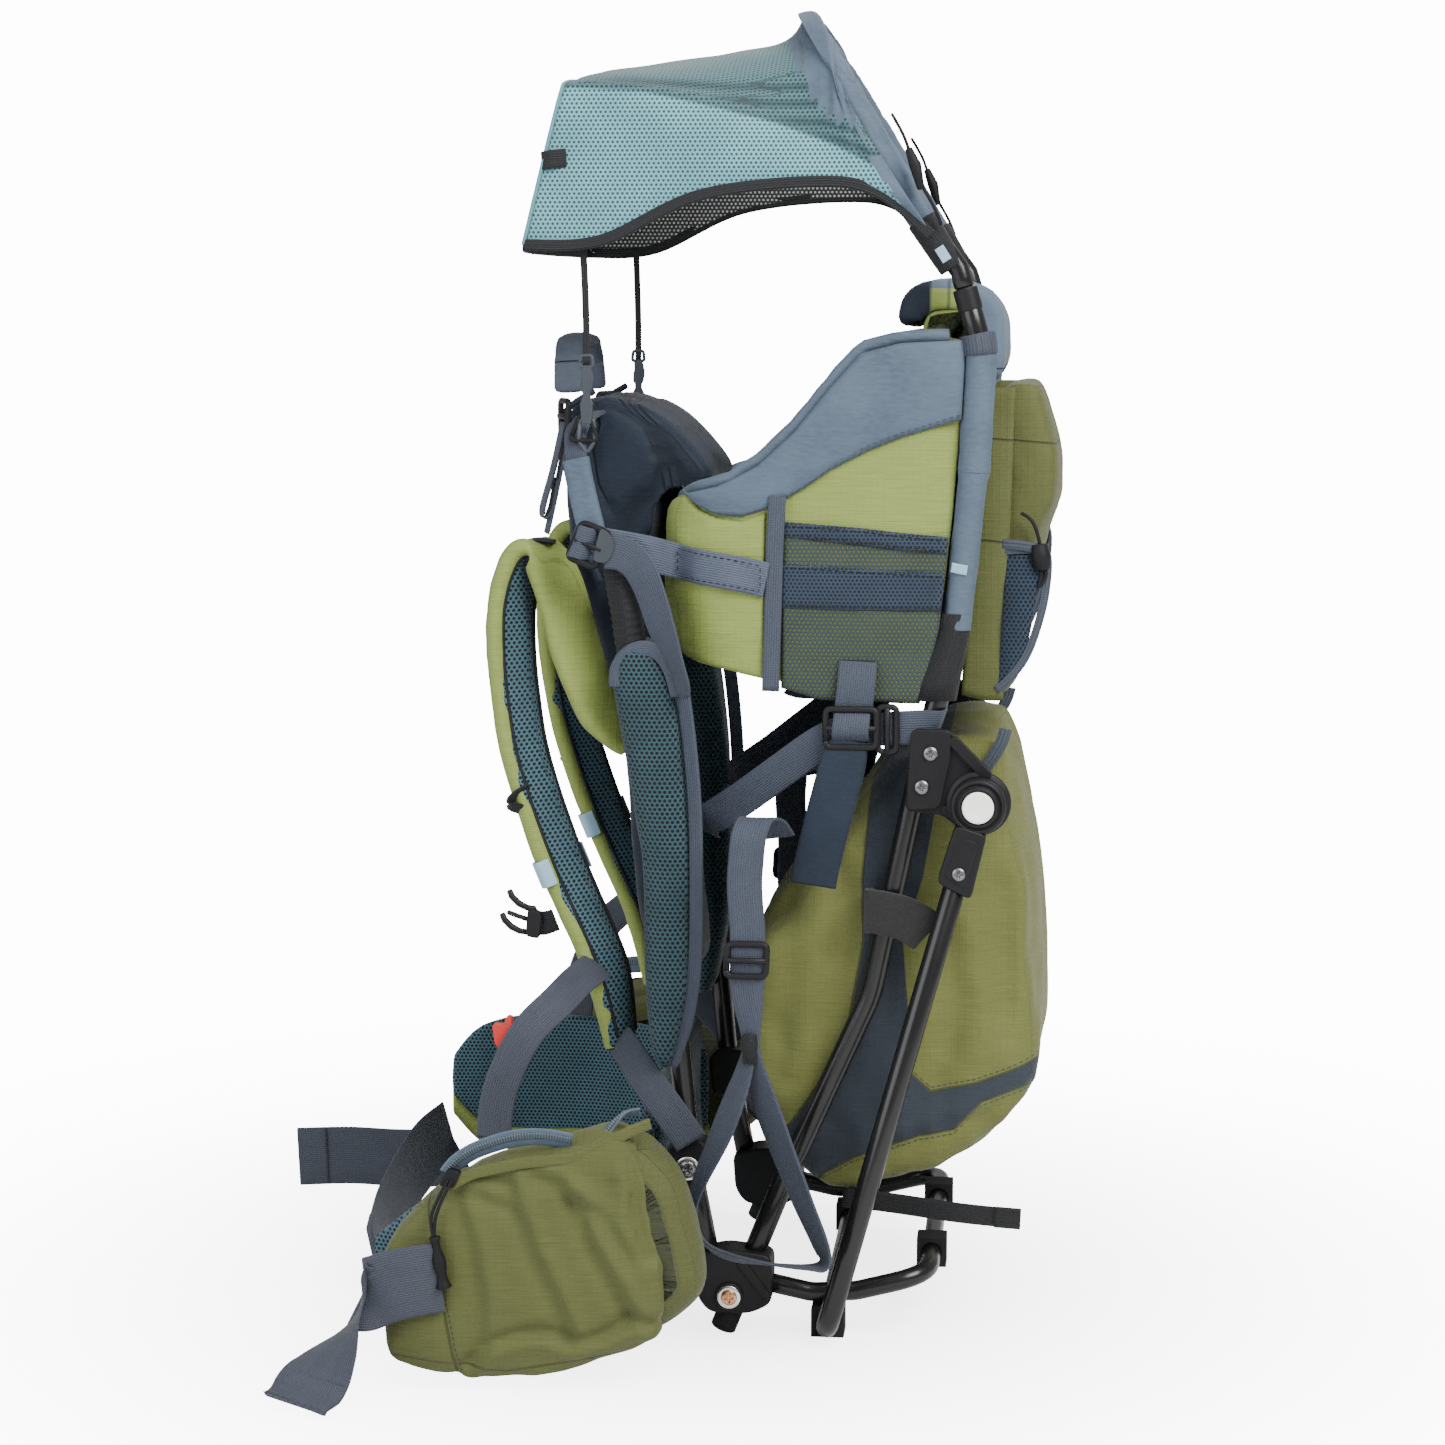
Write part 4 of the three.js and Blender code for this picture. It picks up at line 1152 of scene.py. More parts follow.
for hand, s in HANDS:
    for node, material, bevel in ((f"base_clip_{hand}", RUBBER, 3.0),
                                  (f"kickstand_foot_{hand}", RUBBER, 3.5)):
        dress(node, material, bevel)
    dress(f"canopy_hook_{hand}", GRAY_PLASTIC, 0.8)


# ---------------------------------------------------------------- screws and buttons
def screw(name, centre, s, radius, material):
    """A domed Phillips head standing out along x from its face."""
    n, rings_out = 48, 12
    height = radius * 0.42
    verts, faces = [], []
    for r in range(rings_out + 1):
        q = r / rings_out
        for a in round_angles(n):
            y, z = q * radius * math.cos(a), q * radius * math.sin(a)
            x = height * math.sqrt(max(0.0, 1 - (q * 0.96) ** 2))
            arm, wide = radius * 0.56, radius * 0.15
            in_cross = min(max(abs(y) - arm, abs(z) - wide), max(abs(z) - arm, abs(y) - wide))
            x -= radius * 0.3 * smooth(0.5 - in_cross / (radius * 0.09))
            verts.append(centre + vec(s * x, y, z))
    verts += [centre + vec(-s * 0.5, radius * math.cos(a), radius * math.sin(a)) for a in round_angles(n)]
    for r in range(rings_out + 1):
        faces += [(r * n + k, r * n + (k + 1) % n, (r + 1) * n + (k + 1) % n, (r + 1) * n + k)
                  for k in range(n)]
    faces.append(tuple(range((rings_out + 1) * n, (rings_out + 2) * n))[::-1])
    obj = mesh_object(name, verts, faces, material=material)
    mesh = bmesh.new()
    mesh.from_mesh(obj.data)
    bmesh.ops.remove_doubles(mesh, verts=mesh.verts, dist=1e-6)
    bmesh.ops.recalc_face_normals(mesh, faces=mesh.faces)
    mesh.to_mesh(obj.data)
    mesh.free()
    return obj


def washer(name, centre, s, inner, outer, thickness, material):
    """A flat ring with its outer edge eased."""
    return turned(name, [(0, inner), (0, outer), (thickness * 0.7, outer), (thickness, outer - 0.4),
                         (thickness, inner), (0, inner)], centre, s, material)


BRACKET_SCREWS = {"upper": (164, 432), "lower": (158, 408)}
for hand, s in HANDS:
    for place, (y, z) in BRACKET_SCREWS.items():
        finish_piece(screw(f"look_bracket_screw_{place}_{hand}", vec(s * 158.3, y, z), s, 5.2, NICKEL),
                     "frame", [f"bracket_screw_{place}_{hand}"])
    finish_piece(screw(f"look_stay_bolt_{hand}", vec(s * 155.3, -9, 126), s, 5.6, NICKEL),
                 "frame", [f"stay_bolt_{hand}"])
    ring = washer(f"stay_bolt_washer_{hand}", vec(s * 154.4, -9, 126), s, 3, 8.8, 1.5, CHROME)
    finish_piece(ring, "frame")
    ring = washer(f"foot_bolt_washer_{hand}", vec(s * 155.2, 21, 31), s, 3, 8.6, 1.5, CHROME)
    finish_piece(ring, "frame")
    finish_piece(screw(f"look_foot_bolt_{hand}", vec(s * 156.3, 21, 31), s, 6, COPPER),
                 "frame", [f"foot_bolt_{hand}"])
    at = on_leg(0, 49)
    finish_piece(screw(f"look_arm_screw_{hand}", vec(s * 178.3, at.y, at.z), s, 4.8, NICKEL),
                 "kickstand", [f"arm_screw_{hand}"])
    button = turned(f"look_press_button_{hand}",
                    [(0, 0.05), (0, 11.2), (10.6, 11.2), (11.5, 10.9), (12, 10.3), (12.1, 9.2), (11.9, 8),
                     (11.75, 4), (11.7, 0.05)], vec(s * 168, HUB.y, HUB.z), s, WHITE, 56)
    finish_piece(button, f"button_{hand}", [f"press_button_{hand}"])


# ---------------------------------------------------------------- hinges of the kickstand
def smooth_outline(outline, radius):
    """A [y, z] outline with its corners rounded."""
    points = [vec(0, y, z) for y, z in outline]
    n = len(points)
    path = []
    for i, p in enumerate(points):
        before, after = points[i - 1], points[(i + 1) % n]
        curve = corner_curve(before, p, after, min(radius, (before - p).length * 0.45),
                             min(radius, (after - p).length * 0.45), 5)
        path += [(q.y, q.z) for q in curve]
    return path


def bar_outline(a, b, half):
    """A round-ended bar between two (y, z) points."""
    d = Vector((b[0] - a[0], b[1] - a[1])).normalized()
    start = math.atan2(d.y, d.x)
    out = [(b[0] + half * math.cos(start + q), b[1] + half * math.sin(start + q))
           for q in (math.pi * (-0.5 + i / 10) for i in range(11))]
    return out + [(a[0] + half * math.cos(start + q), a[1] + half * math.sin(start + q))
                  for q in (math.pi * (0.5 + i / 10) for i in range(11))]


for hand, s in HANDS:
    def at_x(inner, outer):
        return (s * inner, s * outer)
    base = plate("b",
                 smooth_outline([(150, 449), (178, 449), (184, 430), (204, 420), (221, 404), (212, 380),
                                 (190, 374), (172, 388), (146, 390)], 6), *at_x(149, 154.2), PLASTIC, 0.8)
    block = plate("k", smooth_outline([(150, 449), (178, 449), (178, 428), (171, 393), (147, 391)], 5),
                  *at_x(153, 158), PLASTIC, 1.2)
    rib_top = plate("t", bar_outline((181, 440), (203, 417), 4.2), *at_x(153, 157.9), PLASTIC, 1.2)
    rib_low = plate("l", bar_outline((175, 392), (196, 378), 3.2), *at_x(153, 157.2), PLASTIC, 1.0)
    stack = [base, block, rib_top, rib_low]
    stack.append(turned("h", [(0, 0.05), (0, 22.8), (3.4, 22.8), (4.4, 21.8), (4.6, 0.05)],
                        vec(s * 153.2, HUB.y, HUB.z), s, PLASTIC, 64))
    finish_piece(join(f"look_hinge_bracket_{hand}", stack), "frame",
                 [f"hinge_bracket_{hand}"])
    hub_ring = turned("r", [(0, 11.9), (0, 19.6), (15, 19.6), (16.6, 19.0), (17.4, 17.8), (17.4, 16.6),
                            (16.2, 16.2), (16.2, 14.6), (18.6, 14.2), (19.2, 13.4), (19.2, 12.4),
                            (18.6, 11.9), (0, 11.9)], vec(s * 158.9, HUB.y, HUB.z), s, PLASTIC, 72)
    a, b = on_leg(0, 17), on_leg(0, 62)
    arm = plate("a", smooth_outline([(a.y - 11, a.z + 4), (a.y + 11, a.z - 3), (b.y + 12, b.z - 6),
                                     (b.y - 12, b.z + 6)], 5), *at_x(158.9, 177.6), PLASTIC, 1.8)
    rim = plate("c", smooth_outline([(a.y - 6, a.z - 5), (a.y + 6, a.z - 9), (b.y + 7, b.z + 2),
                                     (b.y - 7, b.z + 11)], 4), *at_x(177.2, 178.2), PLASTIC, 0.6)
    finish_piece(join(f"look_hinge_arm_{hand}", [hub_ring, arm, rim]), "kickstand",
                 [f"hinge_arm_{hand}"])
    foot_parts = [plate("f", smooth_outline([(-3, 30), (-5, 60), (18, 66), (52, 62), (52, 26), (36, 18),
                                             (6, 18)], 7), *at_x(126.5, 154), PLASTIC, 2.2),
                  plate("g", bar_outline((30, 56), (47, 34), 3.2), *at_x(153, 155.8), PLASTIC, 1.0),
                  turned("o", [(0, 0.05), (0, 10.5), (2.2, 10.5), (2.8, 9.8), (2.9, 6.6), (0.9, 6.4),
                               (0.9, 0.05)], vec(s * 153.4, 21, 31), s, PLASTIC, 40)]
    finish_piece(join(f"look_foot_fitting_{hand}", foot_parts), "frame",
                 [f"foot_fitting_{hand}"])
    finish_piece(plate(f"look_stay_bracket_{hand}",
                       smooth_outline([(-22, 108), (-25, 140), (-16, 148), (4, 146), (6, 120), (0, 106)],
                                      6), *at_x(129.5, 153.8), PLASTIC, 2.4), "frame",
                 [f"stay_bracket_{hand}"])
    tip = tube(f"tube_foot_cap_{hand}", [p for p in main_route(s * FRAME_X) if p.z < 24][:2] +
               [vec(s * FRAME_X, 23.3, 24)], 9.4, RUBBER)
    finish_piece(tip, "frame")


# ---------------------------------------------------------------- canopy
CANOPY_SECTIONS = [
    [(155, *over_hoop(0, 43)[1:]), (158, *over_hoop(0, 80)[1:]), (136, *over_hoop(0, 156)[1:]),
     (79, *over_hoop(0, 214)[1:]), (40, *over_hoop(0, 231)[1:]), (0, *over_hoop(0, 236)[1:])],
    [(153, 125, 822), (154, 116, 833), (144, 98, 872), (105, 88, 925), (51, 73, 952), (0, 58, 954)],
    [(151, 84, 830), (150, 80, 840), (141, 69, 863), (112, 60, 899), (60, 50, 928), (0, 42, 938)],
    [(151, 0, 821), (151, 0, 850), (145, 0, 882), (126, -5, 902), (63, -10, 920), (0, -15, 928)],
    [(151, -70, 790), (151, -70, 840), (147, -70, 890), (131, -72, 904), (65, -76, 914), (0, -80, 918)],
    [(151, -124, 787), (151, -110.1, 842), (147, -98, 890), (133, -95.5, 900), (66, -94.2, 905),
     (0, -93.5, 908)],
]


def canopy_grid():
    """Rows from the hoop to the front edge, each from the left hem over the ridge to the right hem."""
    halves = [catmull([vec(*p) for p in half], 5) for half in CANOPY_SECTIONS]
    rows = [catmull([half[i] for half in halves], 8) for i in range(len(halves[0]))]
    grid = []
    for r in range(len(rows[0])):
        half = [rows[i][r] for i in range(len(rows))]
        grid.append(half + [vec(-p.x, p.y, p.z) for p in reversed(half[:-1])])
    return grid


def grid_mesh(name, grid, material, move):
    """A sheet through the rows of a grid, each vertex then moved by move(p, normal)."""
    n = len(grid[0])
    verts = [p for row in grid for p in row]
    faces = [(r * n + i, r * n + i + 1, (r + 1) * n + i + 1, (r + 1) * n + i)
             for r in range(len(grid) - 1) for i in range(n - 1)]
    obj = mesh_object(name, verts, faces, material=material)
    return sculpt(obj, move)


CREASE = [(-130, 899), (-94, 896), (-39, 892), (8, 882), (54, 870), (93, 855), (131, 836), (154, 815),
          (175, 800)]
FAN_FOLDS = [[(-80, 902), (-28, 899), (19, 897), (74, 897), (98, 894)],
             [(5, 890), (44, 885), (91, 885), (116, 879)], [(45, 874), (84, 871), (126, 861)],
             [(76, 865), (107, 855), (133, 842)], [(100, 851), (141, 830)]]


def canopy_dark_top_and_fold_shade(s, x, y, z):
    """Above the crease the canopy doubles over and shows darker; its fanned folds are darker still, as
    painted shade in their creases.
    """
    top = (z - s.line(y, CREASE)).above(0.0, 1.5)
    # the mask along the fold lines is painted shade
    folds = None
    for run in FAN_FOLDS:
        line = (z - s.line(y, run)).size().below(2.4, 2.6)
        line = line * y.above(run[0][0] + 8, 12) * y.below(run[-1][0] + 8, 8)
        folds = line if folds is None else folds.math("MAXIMUM", line)
    return top, folds * top * 0.8


CANOPY_MESH = open_mesh("mesh_canopy", TEAL, hole_alpha=0.94, pitch=3.4, hole=1.9, dark=canopy_dark_top_and_fold_shade)
SHEET_THICKNESS = 0.9
# inner face of the canopy sheet: near-black yarn over a pale back, so its holes show painted light, as if
# light came through the mesh
LINING_WITH_PAINTED_LIGHT = spacer("mesh_canopy_lining_painted_light", (0.020, 0.024, 0.026), (0.34, 0.34, 0.33), pitch=3.4, hole=1.9)
grid = canopy_grid()


def canopy_folds(p, n):
    """The top sheet gathers in folds that fan out from the rear corners; the sides are taut."""
    over = p.z - interp(p.y, CREASE)
    top = smooth(over / 14)
    depth = -3.2 * max(smooth(1 - abs(p.z - interp(p.y, run)) / 7) * smooth((p.y - run[0][0]) / 25)
                       for run in FAN_FOLDS) * smooth((150 - p.y) / 20) * top
    depth += 1.5 * ripple(p, 30, 5) * top + 0.7 * ripple(p, 60, 1)
    groove = -2.0 * smooth(1 - abs(over) / 5)
    rear = smooth((p.y - 130) / 30)
    return n * (depth * (1 - 0.7 * rear) + groove - 1.0)


shade_sheet = grid_mesh("canopy_sheet", grid, CANOPY_MESH, canopy_folds)
subdivide(shade_sheet)
shell(shade_sheet, SHEET_THICKNESS, LINING_WITH_PAINTED_LIGHT)
# the rear margin of the sheet is the same cloth, in and out, as the sleeve that it is sewn to
for cloth in (GRAY, GRAY):
    shade_sheet.data.materials.append(cloth)
for face in shade_sheet.data.polygons:
    centre = face.center / MM
    reach = 20 if centre.z > 872 else 8
    if min((centre - p).length for p in grid[0]) < reach:
        face.material_index = 2
# the front sheet hangs from the last row to the front hem, bowed out most in the middle of the hem
FRONT_HEM_Z, FRONT_TOP_Z, FRONT_HALF_WIDTH, FRONT_BOW = 787, 908, 151, 17
FRONT_DROP = FRONT_TOP_Z - FRONT_HEM_Z
front_row = grid[-1]
front_grid = []
for step_down in range(13):
    t = step_down / 12
    row = []
    for p in front_row:
        z = p.z + (FRONT_HEM_Z - p.z) * t
        bow = math.cos(p.x / FRONT_HALF_WIDTH * math.pi / 2) * (FRONT_TOP_Z - z) / FRONT_DROP
        side_y = -124 + (z - FRONT_HEM_Z) * 0.2524
        row.append(vec(p.x, side_y - FRONT_BOW * bow, z))
    front_grid.append(row)
front_sheet = grid_mesh("canopy_front_sheet", front_grid, CANOPY_MESH,
                        lambda p, n: n * (1.2 * ripple(p, 30, 8) * smooth((905 - p.z) / 12)))
subdivide(front_sheet)
shell(front_sheet, SHEET_THICKNESS, LINING_WITH_PAINTED_LIGHT)


def sheet_edge(points, name, width, thickness, material, out, per_span=3):
    """A binding along a line of points, its face turned to out."""
    stations = []
    for i, p in enumerate(points):
        t = (points[min(i + 1, len(points) - 1)] - points[max(i - 1, 0)]).normalized()
        across = t.cross(out).normalized()
        stations.append((tuple(p), tuple(across)))
    return strap(name, stations, width, thickness, material, per_span=per_span)


for hand, s in HANDS:
    column = 0 if s > 0 else -1
    hem = [row[column] for row in grid]
    edge = sheet_edge(hem, f"canopy_hem_{hand}", 8, 2.6, WEB_DARK, out=vec(s, 0, 0))
    finish_piece(edge, "canopy")
front_binding = tube("canopy_front_piping", [p + vec(0, -0.6, 0) for p in front_row], 1.5, EDGE_TEAL,
                     sides=10, end_round=0.3)
finish_piece(front_binding, "canopy")
front_hem = sheet_edge(front_grid[-1], "canopy_front_hem", 8, 2.4, WEB_DARK, out=vec(0, -1, 0))
finish_piece(front_hem, "canopy")

finish_piece(shade_sheet, "canopy", ["canopy_shell"])
finish_piece(front_sheet, "canopy", ["canopy_shell"])

sleeve_arc = [over_hoop(FRAME_X * math.cos(a), HOOP_STRAIGHT + FRAME_X * math.sin(a))
              for a in (math.pi * i / 48 for i in range(49))]
sleeve_path = [over_hoop(FRAME_X, 46), over_hoop(FRAME_X, 60), *sleeve_arc, over_hoop(-FRAME_X, 60),
               over_hoop(-FRAME_X, 46)]
sleeve = tube("canopy_pole_sleeve", catmull(sleeve_path, 3),
              lambda t: interp(abs(t - 0.5), [(0, 11), (0.12, 12.5), (0.25, 13), (0.4, 11.5), (0.5, 9.6)]),
              GRAY, sides=24)
sculpt(sleeve, lambda p, n: n * (0.9 * ripple(p, 14, 4) + 0.5 * ripple(p, 6, 9)))
finish_piece(sleeve, "canopy")
for hand, s in HANDS:
    pocket_path = [over_hoop(s * FRAME_X, k) for k in (16, 24, 34, 44, 56)]
    pocket = tube(f"canopy_pole_pocket_{hand}", pocket_path, lambda t: 9.2 + 1.8 * t, WEB_DARK, sides=20)
    finish_piece(pocket, "canopy")
    tube_face = vec(0, math.cos(HOOP_LEAN), math.sin(HOOP_LEAN))
    reflector = strap(f"canopy_reflector_{hand}",
                      [(tuple(over_hoop(s * (FRAME_X + 10.2), k)), tuple(tube_face)) for k in (22, 27, 33)],
                      7, 1.2, REFLECT, per_span=4)
    finish_piece(reflector, "canopy")
    lock_path = [vec(s * 158, y, z) for y, z in ((145, 852), (150, 840), (154, 824))]
    lock = tube(f"canopy_cord_lock_{hand}", lock_path,
                lambda t: 2.6 + 1.6 * math.sin(math.pi * t), SOFT_PLASTIC, sides=20)
    finish_piece(lock, "canopy")
    cord = [vec(s * x, y, z) for x, y, z in ((152, 133, 876), (158, 141, 862), (158, 145, 852),
                                             (158, 152, 832), (157, 163, 812), (153, 168, 800))]
    elastic = tube(f"canopy_elastic_{hand}", catmull(cord, 6), 1.2, SOFT_PLASTIC, sides=10)
    finish_piece(elastic, "canopy")
    tab = strap(f"canopy_tab_{hand}", facing((0, 0.2, 1), (s * 150, -94, 847), (s * 152.5, -103, 846),
                                             (s * 151, -111, 845)), 13, 2, WEB_DARK, per_span=3)
    finish_piece(tab, "canopy")

for hand, s in HANDS:
    tie = strap(f"canopy_tie_{hand}", [((s * 143, -84, 790), (0, 1, 0)), ((s * 141, -83, 770), (0, 1, 0)),
                                       ((s * 140, -82, 735), (0.1 * s, 1, 0)),
                                       ((s * 140, -82, 703), (0, 1, 0))], 5, 1.4, WEB_DARK, per_span=5)
    finish_piece(tie, "canopy", [f"canopy_strap_{hand}"])
    x = s * FRAME_X
    eye = frame_bar(f"canopy_swivel_eye_{hand}", [vec(x, -87, 702), vec(x, -77, 702), vec(x, -78, 710),
                                                  vec(x, -86, 710)], 1.3, GRAY_PLASTIC)
    hook = frame_bar(f"canopy_snap_hook_{hand}", [vec(x, -80, 702), vec(x, -78, 692), vec(x, -80, 684),
                                                  vec(x, -85, 685), vec(x, -84.5, 694)], 1.5, GRAY_PLASTIC)
    finish_piece(join(f"canopy_swivel_{hand}", [eye, hook]), "canopy")
    d_ring = frame_bar(f"canopy_d_ring_{hand}", [vec(x, -87, 665), vec(x, -77, 665), vec(x, -76, 650),
                                                 vec(x, -82, 641), vec(x, -88, 650)], 1.5, GRAY_PLASTIC)
    finish_piece(d_ring, "frame")


# ---------------------------------------------------------------- cockpit wall
COCKPIT_STATIONS = [(165, 480, 724), (140, 468, 722), (113, 465, 715), (92, 468, 692), (66, 474, 660),
                    (40, 478, 636), (14, 486, 622)]
WALL_MID, WALL_CORNER, WALL_FRONT_Y, WALL_REAR_Y, WALL_HALF = 135, 40, -17, 165, 10.8
SIDE_LENGTH = WALL_REAR_Y - (WALL_FRONT_Y + WALL_CORNER)
CORNER_LENGTH = WALL_CORNER * math.pi / 2


def wall_point(s, z, off, hand=1):
    """A point at plan distance s forward of the rear end, and off outward of the wall's middle."""
    if s <= SIDE_LENGTH:
        p = vec(WALL_MID + off, WALL_REAR_Y - s, z)
    elif s <= SIDE_LENGTH + CORNER_LENGTH:
        a = (s - SIDE_LENGTH) / WALL_CORNER
        r = WALL_CORNER + off
        p = vec(WALL_MID - WALL_CORNER + r * math.cos(a), WALL_FRONT_Y + WALL_CORNER - r * math.sin(a), z)
    else:
        p = vec(WALL_MID - WALL_CORNER - (s - SIDE_LENGTH - CORNER_LENGTH), WALL_FRONT_Y - off, z)
    if s < 26:
        p.y += (1 - s / 26) * (tube_y(z) - 176)
    return vec(p.x * hand, p.y, p.z)


def wall_low(s):
    """Height of the wall's bottom edge."""
    if s <= SIDE_LENGTH:
        return interp(s - WALL_REAR_Y, [(-y, low) for y, low, _ in COCKPIT_STATIONS])
    return interp(s, [(SIDE_LENGTH, 486), (SIDE_LENGTH + CORNER_LENGTH, 508)])


def wall_high(s):
    """Height of the wall's top edge."""
    if s <= SIDE_LENGTH:
        return interp(s - WALL_REAR_Y, [(-y, high) for y, _, high in COCKPIT_STATIONS])
    return interp(s, [(SIDE_LENGTH, 624), (SIDE_LENGTH + CORNER_LENGTH, 606)])


HALF_LENGTH = SIDE_LENGTH + CORNER_LENGTH + (WALL_MID - WALL_CORNER)


def wall_ring(s, hand):
    """An upright section of the wall, its edges rounded."""
    low, high = wall_low(s), wall_high(s)
    thick = WALL_HALF if s > 12 else WALL_HALF * (0.55 + 0.45 * s / 12)
    pts = []
    for side in (1, -1):
        zs = [low + 3 + (high - low - 6) * k / 22 for k in range(23)]
        zs = zs if side > 0 else zs[::-1]
        for k, z in enumerate(zs):
            t = (z - low) / (high - low)
            round_off = min(1.0, (math.sin(math.pi * min(max(t, 0.004), 0.996))) ** 0.28)
            pts.append(wall_point(s, z, side * thick * round_off, hand))
    return pts


stations = [0, 5, 10, 16, 24] + [24 + (HALF_LENGTH - 24) * k / 44 for k in range(1, 45)]
rings = [wall_ring(s, 1) for s in stations] + [wall_ring(s, -1) for s in reversed(stations[:-1])]
wall = loft("cockpit_wall", rings, OLIVE_CLOTH)
wrinkle(wall, [(46, 1.3, 3), (18, 0.5, 6)])
subdivide(wall)
finish_piece(wall, "frame", ["cockpit_pad"])

rim_path = []
for hand in (1, -1):
    run = [wall_point(s, wall_high(s) + 0.5, 0, hand) for s in stations[1:]]
    rim_path += run if hand > 0 else run[::-1][1:]
rim = tube("cockpit_rim_piping", rim_path, 5.2, GRAY, sides=14)
sculpt(rim, lambda p, n: n * (0.8 * ripple(p, 14, 2)))
finish_piece(rim, "frame")


def wall_face(hand):
    """place() for panels on the outside of the wall; s is given as y, run on past the corner."""
    return lambda y, z, lift: wall_point(WALL_REAR_Y - y, z, WALL_HALF + 0.1 + lift, hand)


# top and bottom lines of the cloth over the pocket's mouth and of the band across it
POCKET_BANDS = {"hem": ([(58, 594), (113, 590), (164, 584)], [(58, 583), (113, 578), (164, 572)]),
                "band": ([(58, 565), (113, 562), (164, 559)], [(58, 533), (113, 532), (164, 532)])}
CHEEK_TOP = [(-38, 598), (-24, 606), (-8, 613), (2, 602), (14, 596), (28, 594), (46, 600)]
CHEEK_FOOT = [(-38, 520), (-24, 506), (-8, 497), (2, 493), (14, 490), (28, 486), (46, 482)]
POCKET_TOP = [(58, 592), (113, 587), (164, 581)]
POCKET_FOOT = [(57, 476), (85, 468), (113, 467), (140, 466), (164, 466)]
POCKET_PUFF = 6.0
SEAM_LINE = [(-10, 616), (0, 606), (12, 599), (28, 597), (48, 603), (74, 618), (91, 630), (118, 644),
             (140, 653), (165, 666)]
for hand, s in HANDS:
    place = wall_face(s)
    wall_top = [(y, wall_high(WALL_REAR_Y - y) - 3)
                for y in (-10, 0, 14, 27, 40, 53, 66, 92, 113, 140, 165)]
    yoke = panel(f"cockpit_yoke_{hand}", wall_top, SEAM_LINE, place, 2.2, GRAY,
                 puff=2.2, folds=[(30, 1.5, 4), (11, 0.5, 7)], columns=80, rows=16)
    finish_piece(yoke, "frame")
    seam = catmull([vec(y, z, 0) for y, z in SEAM_LINE], 6)
    for drop in (1.6, 4.6):
        thread = stitches(f"cockpit_stitch_{hand}_{int(drop)}",
                          [place(p.x, p.y + drop - 1, 2.3) for p in seam], BINDING)
        finish_piece(thread, "frame")
    # olive part under the yoke, puffed between its seams
    cheek = panel(f"cockpit_cheek_{hand}", CHEEK_TOP, CHEEK_FOOT, place, 1.6, OLIVE_CLOTH, puff=4.5,
                  folds=[(38, 1.5, 5), (14, 0.6, 2)], columns=48, rows=36)
    finish_piece(cheek, "frame")
    # webbing from the front to the vertical strip
    webbing_run = []
    for y, z in ((-8, 565), (6, 562), (20, 559), (34, 556), (47, 553)):
        lift = interp(y, [(-8, 8.5), (20, 8.8), (47, 5.5)])
        a, b = place(y, z - 12, lift), place(y, z + 12, lift)
        webbing_run.append((tuple((a + b) / 2), tuple((b - a).normalized())))
    webbing_run = [((s * 152, -78, 578), (0, 0.3, 1)), ((s * 152, -58, 575), (0, 0.12, 1)),
                  ((s * 151.5, -36, 571), (0, 0.05, 1))] + webbing_run
    webbing(f"cockpit_webbing_{hand}", webbing_run, 25, material=WEB_PALE)
    box_path = [(-6, 555), (43, 545), (43, 563), (-6, 574), (-6, 555)]
    run = []
    for (y0, z0), (y1, z1) in zip(box_path, box_path[1:]):
        run += [place(y0 + (y1 - y0) * k / 6, z0 + (z1 - z0) * k / 6, 9.9) for k in range(6)]
    run += [place(-6, 555, 9.9)]
    finish_piece(stitches(f"cockpit_box_stitch_{hand}", run, WEB_DARK), "frame")
    # vertical binding strip
    strip_run = []
    for y, z in ((54.5, 612), (53, 580), (52, 545), (51, 510), (50, 474)):
        strip_run.append((tuple(place(y, z, 4.6)), (0, 1, 0.03)))
    webbing(f"cockpit_binding_{hand}", strip_run, 12.5)
    # mesh pocket and its two bands
    pocket = panel(f"cockpit_pocket_{hand}", POCKET_TOP, POCKET_FOOT, place, 1.8, POCKET_MESH,
                   puff=POCKET_PUFF, folds=[(42, 2.4, 3), (16, 0.7, 8)], columns=54, rows=44)
    finish_piece(pocket, "frame")

    def on_pocket(y, z, lift):
        """place() on the pocket's puffed face."""
        t = (y - 58) / 106
        swell = POCKET_PUFF * max(0.0, math.sin(math.pi * min(max(t, 0.02), 0.98))) ** 0.5
        up = max(0.0, math.sin(math.pi * min(max((z - 468) / 122, 0), 1)))
        fold_lift = 2.4 * ripple(vec(y, 0, z), 42, 3)
        return place(y, z, lift + 1.8 + swell * up + fold_lift * 0.8)

    for label, (high, low) in POCKET_BANDS.items():
        band = panel(f"cockpit_pocket_{label}_{hand}", high, low, on_pocket, 1.5, POCKET_BAND, puff=0.8,
                      folds=[(16, 0.5, 1)], columns=44, rows=10)
        finish_piece(band, "frame")
        for y_z in (high, low):
            offset = -2.5 if y_z is high else 2.5
            run = [on_pocket(p.x, p.y + offset, 2.4) for p in catmull([vec(y, z, 0) for y, z in y_z], 10)]
            finish_piece(stitches(f"cockpit_pocket_{label}_stitch_{hand}_{int(offset)}", run, WEB_DARK),
                         "frame")

